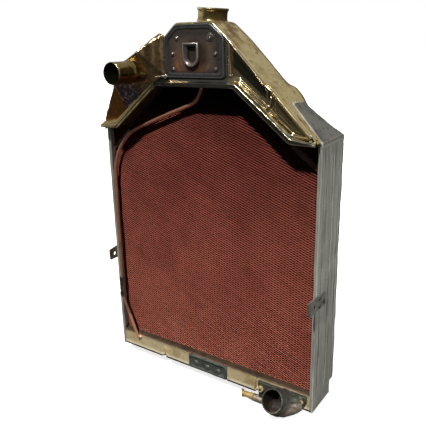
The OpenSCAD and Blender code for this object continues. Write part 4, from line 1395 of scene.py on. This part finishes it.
def dress_cad_nodes():
    """Real materials for the CAD nodes on show, with rounded edges, and the drain boss as a soft casting."""
    slots = {s["node"]: s["material_slot"] for s in frame["record"]["subparts"]}
    for name, obj in frame["nodes"].items():
        if obj.hide_render:
            continue
        obj.data.materials.clear()
        obj.data.materials.append(NODE_FINISHES.get(name) or MATERIALS[slots[name]])
        if name == "drain_boss":
            obj.data.shade_smooth()
            add_cast_skin(obj, 0.5, 3)
            continue
        smooth(obj, 35)
        edge = obj.modifiers.new("edge", "BEVEL")
        edge.width = 0.5 * MM
        edge.segments = 3
        edge.limit_method = "ANGLE"
        edge.angle_limit = math.radians(32)


# ------------------------------------------------------------------ stage

def make_stage():
    """Pale floor that glows a little, so that it shows no grey and tints nothing."""
    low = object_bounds()[0]
    pale = surface("pale_floor", (240, 240, 238), (236, 236, 234), (230, 230, 228), metallic=0.0,
                   rough=(0.6, 0.8), stain_scale=3, bump=0.02, bump_scale=40)
    shader = pale.node_tree.nodes["Principled BSDF"]
    shader.inputs["Emission Color"].default_value = (1, 1, 0.99, 1)
    shader.inputs["Emission Strength"].default_value = 0.8
    mesh = bpy.data.meshes.new("floor")
    size = 12.0
    corners = [(x * size, y * size, low.z) for x, y in ((-1, -1), (1, -1), (1, 1), (-1, 1))]
    mesh.from_pydata(corners, [], [(0, 1, 2, 3)])
    mesh.materials.append(pale)
    floor = bpy.data.objects.new("floor", mesh)
    floor.visible_diffuse = floor.visible_glossy = False
    bpy.context.scene.collection.objects.link(floor)


def make_world():
    """Surroundings to mirror: a dark patchy ground, a dim front, a paler back and bright sides."""
    world = bpy.data.worlds.new("studio")
    bpy.context.scene.world = world
    world.use_nodes = True
    tree = world.node_tree
    tree.nodes.clear()
    way = make_node(tree, "ShaderNodeTexCoord").outputs["Generated"]
    x, y, z = make_node(tree, "ShaderNodeSeparateXYZ", {0: way}).outputs
    yard = blotches(way, 4.0, detail=3, stretch=(1, 1, 0.45), shift=2.0)
    ground = mix(ramp(yard, 0.42, 0.6), (0.02, 0.02, 0.02, 1), (0.15, 0.145, 0.13, 1))
    front_sky = mix(ramp(z, 0.1, 0.9), (0.06, 0.06, 0.06, 1), (0.24, 0.24, 0.23, 1))
    back_sky = mix(ramp(z, 0.1, 0.5), (0.2, 0.2, 0.19, 1), (0.5, 0.48, 0.44, 1))
    sky = mix(ramp(y, -0.1, 0.5), front_sky, back_sky)
    sky = mix(ramp(z, 0.0, 0.12), ground, sky)
    sky = mix(times(ramp(x, -0.9, -0.6, 1, 0), ramp(z, -0.3, -0.1)), sky, (0.6, 0.58, 0.54, 1))
    sky = mix(times(ramp(x, 0.6, 0.9), ramp(z, -0.3, -0.1)), sky, (0.34, 0.33, 0.31, 1))
    path = make_node(tree, "ShaderNodeLightPath").outputs
    lights = ((sky, 1.0), ((1, 0.99, 0.97, 1), 0.035), ((1, 1, 1, 1), 1.0))
    shiny, soft, seen = (make_node(tree, "ShaderNodeBackground", {0: colour, 1: strength}).outputs[0]
                         for colour, strength in lights)
    lit = make_node(tree, "ShaderNodeMixShader", {0: path["Is Glossy Ray"], 1: soft, 2: shiny}).outputs[0]
    out = make_node(tree, "ShaderNodeMixShader", {0: path["Is Camera Ray"], 1: lit, 2: seen}).outputs[0]
    make_node(tree, "ShaderNodeOutputWorld", {0: out})


def make_light(name, kind, place, target, power):
    """A light at a place, in metres, that points at a target."""
    lamp = bpy.data.lights.new(name, kind)
    lamp.energy = power
    obj = bpy.data.objects.new(name, lamp)
    obj.location = place
    obj.rotation_mode = "QUATERNION"
    obj.rotation_quaternion = (Vector(target) - obj.location).to_track_quat("-Z", "Y")
    bpy.context.scene.collection.objects.link(obj)
    return obj


def make_lights():
    middle = Vector((0, 0, 0.35))
    key_way = Vector((-4.0, 35.3, -50.0)).normalized()
    key = make_light("key", "SUN", middle - key_way * 2, middle, 4.2)
    key.data.angle = math.radians(2.0)
    key.data.color = (1.0, 0.98, 0.94)
    overhead = make_light("overhead", "AREA", (-0.2, 0.1, 2.2), (0, 0.05, 0.5), 8)
    side = make_light("side", "AREA", (2.4, 0.35, 0.9), (0.2, 0.04, 0.3), 48)
    overhead.data.size, side.data.size = 1.2, 1.6
    overhead.visible_glossy = side.visible_glossy = False


def make_camera():
    """Camera at the photograph's viewing angle: a little above, from the right, with a slight roll."""
    azimuth, elevation, roll = math.radians(35.02), math.radians(17.58), math.radians(-1.34)
    ahead = Vector((-math.sin(azimuth) * math.cos(elevation), math.cos(azimuth) * math.cos(elevation),
                    -math.sin(elevation)))
    right = ahead.cross(Vector((0, 0, 1))).normalized()
    up = right.cross(ahead)
    turned_right = right * math.cos(roll) + up * math.sin(roll)
    turned_up = up * math.cos(roll) - right * math.sin(roll)
    cam = bpy.data.cameras.new("camera")
    cam.lens = 46.38
    cam.sensor_width = 36.0
    cam.clip_start, cam.clip_end = 0.01, 60
    obj = bpy.data.objects.new("camera", cam)
    turn = Matrix((turned_right, turned_up, -ahead)).transposed()
    obj.matrix_world = Matrix.Translation(Vector((578.4, -793.7, 657.9)) * MM) @ turn.to_4x4()
    bpy.context.scene.collection.objects.link(obj)
    bpy.context.scene.camera = obj


# ------------------------------------------------------------------ everything in its order

make_elbow()
make_core()
make_header_face()
make_top_sheet()
make_back_sheet()
make_vent_plate()
make_studs()
make_box_beads()
make_housing()
make_seams()
make_spigot()
make_neck()
make_pipe()
make_tank()
make_ledge()
make_pad()
for hand in HANDS:
    make_side_plate(*hand)
    make_shoulder(*hand)
    make_stay(*hand)
make_stage()
make_world()
make_lights()
make_camera()
bpy.context.scene.view_settings.view_transform = "Standard"
dress_cad_nodes()

bpy.context.view_layer.update()
